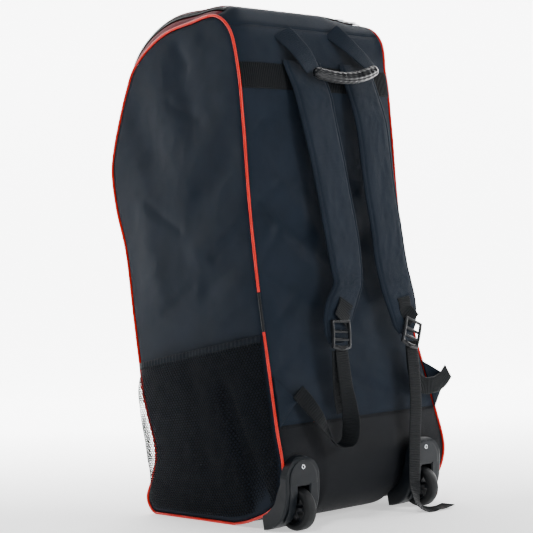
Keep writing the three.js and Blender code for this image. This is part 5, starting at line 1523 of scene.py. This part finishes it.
def lathe(profile, count):
    """Rings of points about the X axis from rows of (radius, x)."""
    angle = np.arange(count) * 2 * math.pi / count
    profile = np.asarray(profile, float)
    return np.stack([np.stack([np.full(count, x), r * np.cos(angle), r * np.sin(angle)], -1)
                     for r, x in profile])


def add_wheel(side, name):
    outer, half = WHEEL_RADIUS, WHEEL_HALF
    centre = np.array([side * abs(WHEEL_X), AXLE_Y, AXLE_Z])
    rim = outer - 0.011
    tyre = [(rim, -half + 0.001), (rim + 0.002, -half), (outer - 0.004, -half),
            (outer - 0.0014, -half + 0.0016), (outer, -half + 0.005), (outer, half - 0.005),
            (outer - 0.0014, half - 0.0016), (outer - 0.004, half), (rim + 0.002, half),
            (rim, half - 0.001), (rim, -half + 0.001)]
    hub = [(0.0044, -half), (0.0100, -half), (0.0110, -half + 0.0012), (0.0112, half - 0.0012),
           (0.0100, half), (0.0044, half), (0.0044, -half)]
    ring = [(rim - 0.0030, -half + 0.004), (rim + 0.0004, -half + 0.003), (rim + 0.0004, half - 0.003),
            (rim - 0.0030, half - 0.004), (rim - 0.0030, -half + 0.004)]
    for label, profiles, material in (("tyre", [tyre], TYRE), ("wheel", [hub, ring], WHEEL_PLASTIC)):
        points, faces = [], []
        for rows in profiles:
            add_part(points, faces, lathe(rows, 72))
        if label == "wheel":
            add_spokes(points, faces, rim, half)
        points = np.concatenate(points) + centre
        piece = add_piece(f"{label}_{name}", points, faces, material, body=f"wheel_{name}")
        face_outwards(piece)
        sharpen(piece, 40)


def add_spokes(points, faces, rim, half):
    SPOKES = 6
    for k in range(SPOKES):
        angle = 2 * math.pi * k / SPOKES
        out = np.array([math.cos(angle), math.sin(angle)])
        side = np.array([-math.sin(angle), math.cos(angle)])
        rings = []
        for r, wide, deep in ((0.0105, 0.0034, half * 0.75), (0.0170, 0.0026, half * 0.45),
                              (rim - 0.002, 0.0032, half * 0.6)):
            ring = []
            for a, b in ((-1, -1), (1, -1), (1, 1), (-1, 1)):
                y, z = out * r + side * a * wide
                ring.append((b * deep, y, z))
            rings.append(ring)
        add_part(points, faces, np.array(rings), capped=True)


def add_rivet(side, name):
    """An eyelet rivet: a turned rim with a dark hole."""
    head = [(0.0011, 0.0015), (0.0011, -0.0004), (0.0018, -0.0011), (0.0034, -0.0015), (0.0044, -0.0010),
            (0.0047, -0.0001), (0.0047, 0.0003), (0.0020, 0.0003), (0.0020, 0.0015), (0.0011, 0.0015)]
    rings = lathe(head, 40)[..., [1, 0, 2]]
    rings[..., 1] -= HOUSING_BACK + 0.0001
    rings[..., 0] += side * abs(WHEEL_X)
    rings[..., 2] += RIVET_HEIGHT
    piece = add_piece(f"rivet_{name}", rings, grid_faces(len(head), 40, wrap=True), STEEL)
    face_outwards(piece)
    sharpen(piece, 60)


def plate_outline(inset, z):
    """Half width of the housing's arch, inset, at a height."""
    radius = HOUSING_WIDTH / 2 - inset
    over = np.clip(z - (HOUSING_TOP - HOUSING_WIDTH / 2), 0, radius)
    return np.sqrt(np.maximum(radius**2 - over**2, 0))


def face_y(z):
    """The housing's face in side view: upright, then curving under."""
    knots = np.array([(-0.2080, 0.140), (-0.2080, 0.083), (-0.2064, 0.060), (-0.2010, 0.035),
                      (-0.1920, 0.0200), (-0.1760, 0.0075), (-0.1600, 0.0030)])
    return np.interp(z, knots[::-1, 1], knots[::-1, 0])


def add_housing_trim(side, name):
    """A raised plate inside the arch, left and right of the wheel's slot and over it."""
    PLATE_INSET = 0.0075
    PLATE_RISE = 0.0013
    x0 = side * abs(WHEEL_X)
    slot = WHEEL_HALF + 0.003 + 0.0022
    slot_top = 2 * WHEEL_RADIUS + 0.004 + 0.0022
    points, faces = [], []

    def patch(z_rows, left, right):
        share = np.linspace(0, 1, 14)[None, :]
        x = left[:, None] + (right - left)[:, None] * share
        z = z_rows[:, None] + 0 * share
        add_part(points, faces, np.stack([x0 + x, face_y(z) - PLATE_RISE, z], -1), wrap=False)

    top = HOUSING_TOP - PLATE_INSET - 0.0002
    upper = top - (top - slot_top) * (1 - np.cos(np.linspace(0, math.pi / 2, 22)[::-1]))
    upper = np.sort(upper)
    wide = plate_outline(PLATE_INSET, upper)
    patch(upper, -wide, wide)
    lower = np.linspace(0.016, slot_top, 24)
    wide = plate_outline(PLATE_INSET, lower)
    patch(lower, -wide, np.full(len(lower), -slot))
    patch(lower, np.full(len(lower), slot), wide)
    piece = add_piece(f"housing_plate_{name}", np.concatenate(points), faces, HOUSING_PLASTIC)
    thicken(piece, PLATE_RISE + 0.0004)
    soften(piece, 0.0005)
    sharpen(piece, 40)


def add_wheels():
    for side, name in ((-1, "left"), (1, "right")):
        add_wheel(side, name)
        add_rivet(side, name)
        add_housing_trim(side, name)
        finish_node(f"wheel_housing_{name}", HOUSING_PLASTIC, 32, edge=0.0012)
        finish_node(f"axle_{name}", STEEL, 40)


# Zip slider and pull

def add_slider():
    finish_node("zip_slider", STEEL, 30, edge=0.0012)
    finish_node("zip_pull", STEEL, 30, edge=0.0006)


# Floor and lights

STAGE_BACK = 2.6
STAGE_NEAR = 0.7
STAGE_GLOW = 6.0
STAGE_STRENGTH = 1.6
STAGE_FRONT = -3.5
STAGE_SIDE = 7.0
STAGE_TOP = 6.0
LAMP_AIM = 0.45
WORLD_STRENGTH = 0.16
LAMPS = (
    ("key", (-1.7, -0.9, 2.9), 0.7, 46),
    ("fill", (0.9, -3.0, 1.6), 1.2, 62),
    ("rim", (-1.2, 2.6, 2.4), 1.8, 8),
)


def add_stage():
    """A floor that runs up into a wall behind the bag and glows more the further back it lies."""
    CURVE = 1.4
    bend = np.linspace(0, math.pi / 2, 16)
    flat = np.linspace(STAGE_FRONT, STAGE_BACK, 12)[:-1]
    ahead = np.concatenate([flat, STAGE_BACK + CURVE * np.sin(bend), [STAGE_BACK + CURVE]])
    up = np.concatenate([0 * flat, CURVE * (1 - np.cos(bend)), [STAGE_TOP]])
    azimuth = math.radians(CAMERA_AZIMUTH)
    forward = np.array([-math.sin(azimuth), math.cos(azimuth), 0])
    across = np.array([math.cos(azimuth), math.sin(azimuth), 0])
    points = np.stack([forward * a + np.array([0, 0, h]) + across * side
                       for a, h in zip(ahead, up) for side in (-STAGE_SIDE, STAGE_SIDE)])
    floor = bpy.data.meshes.new("floor")
    floor.from_pydata(points.tolist(), [], grid_faces(len(ahead), 2))
    loops = np.zeros(len(floor.loops), np.int32)
    floor.loops.foreach_get("vertex_index", loops)
    run = np.stack([np.repeat(ahead, 2), np.tile([-STAGE_SIDE, STAGE_SIDE], len(ahead))], -1)
    floor.uv_layers.new(name="UVMap").data.foreach_set("uv", run[loops].ravel())
    floor.shade_smooth()
    paint = Finish("floor", "f4f4f4", 0.9, specular=0.0, flat=True)
    paint.set("Emission Color", (1, 1, 1, 1))
    place = paint.add("ShaderNodeSeparateXYZ")
    paint.link(paint.coordinates, place.inputs["Vector"])
    paint.link(paint.ramp(place.outputs["X"], STAGE_NEAR, STAGE_GLOW, 0.0, STAGE_STRENGTH),
               paint.shader.inputs["Emission Strength"])
    floor.materials.append(paint.material)
    ground = bpy.data.objects.new("floor", floor)
    bpy.context.scene.collection.objects.link(ground)
    world = bpy.data.worlds.new("studio")
    world.use_nodes = True
    world.node_tree.nodes["Background"].inputs["Color"].default_value = (0.95, 0.97, 1.0, 1)
    world.node_tree.nodes["Background"].inputs["Strength"].default_value = WORLD_STRENGTH
    bpy.context.scene.world = world
    for name, place, size, power in LAMPS:
        lamp = bpy.data.lights.new(name, "AREA")
        lamp.size = size
        lamp.energy = power
        light = bpy.data.objects.new(name, lamp)
        light.location = place
        aim = Vector((0, 0, LAMP_AIM)) - Vector(place)
        light.rotation_euler = aim.to_track_quat("-Z", "Y").to_euler()
        bpy.context.scene.collection.objects.link(light)


add_stage()
add_body()
add_base()
add_piping()
for side, name in ((-1, "left"), (1, "right")):
    add_side_panel(side, name)
    add_net(side, name)
    add_hem(side, name)
add_lid()
add_zip()
add_band()
for name in STRAPS:
    add_strap(name)
    add_patch(name)
    add_buckle(name)
add_webbing()
add_tabs()
add_handle()
add_wheels()
add_slider()
add_stitches("stitches", stitch_rows["black"], THREAD)
add_stitches("stitches_maroon", stitch_rows["maroon"], MAROON_THREAD)
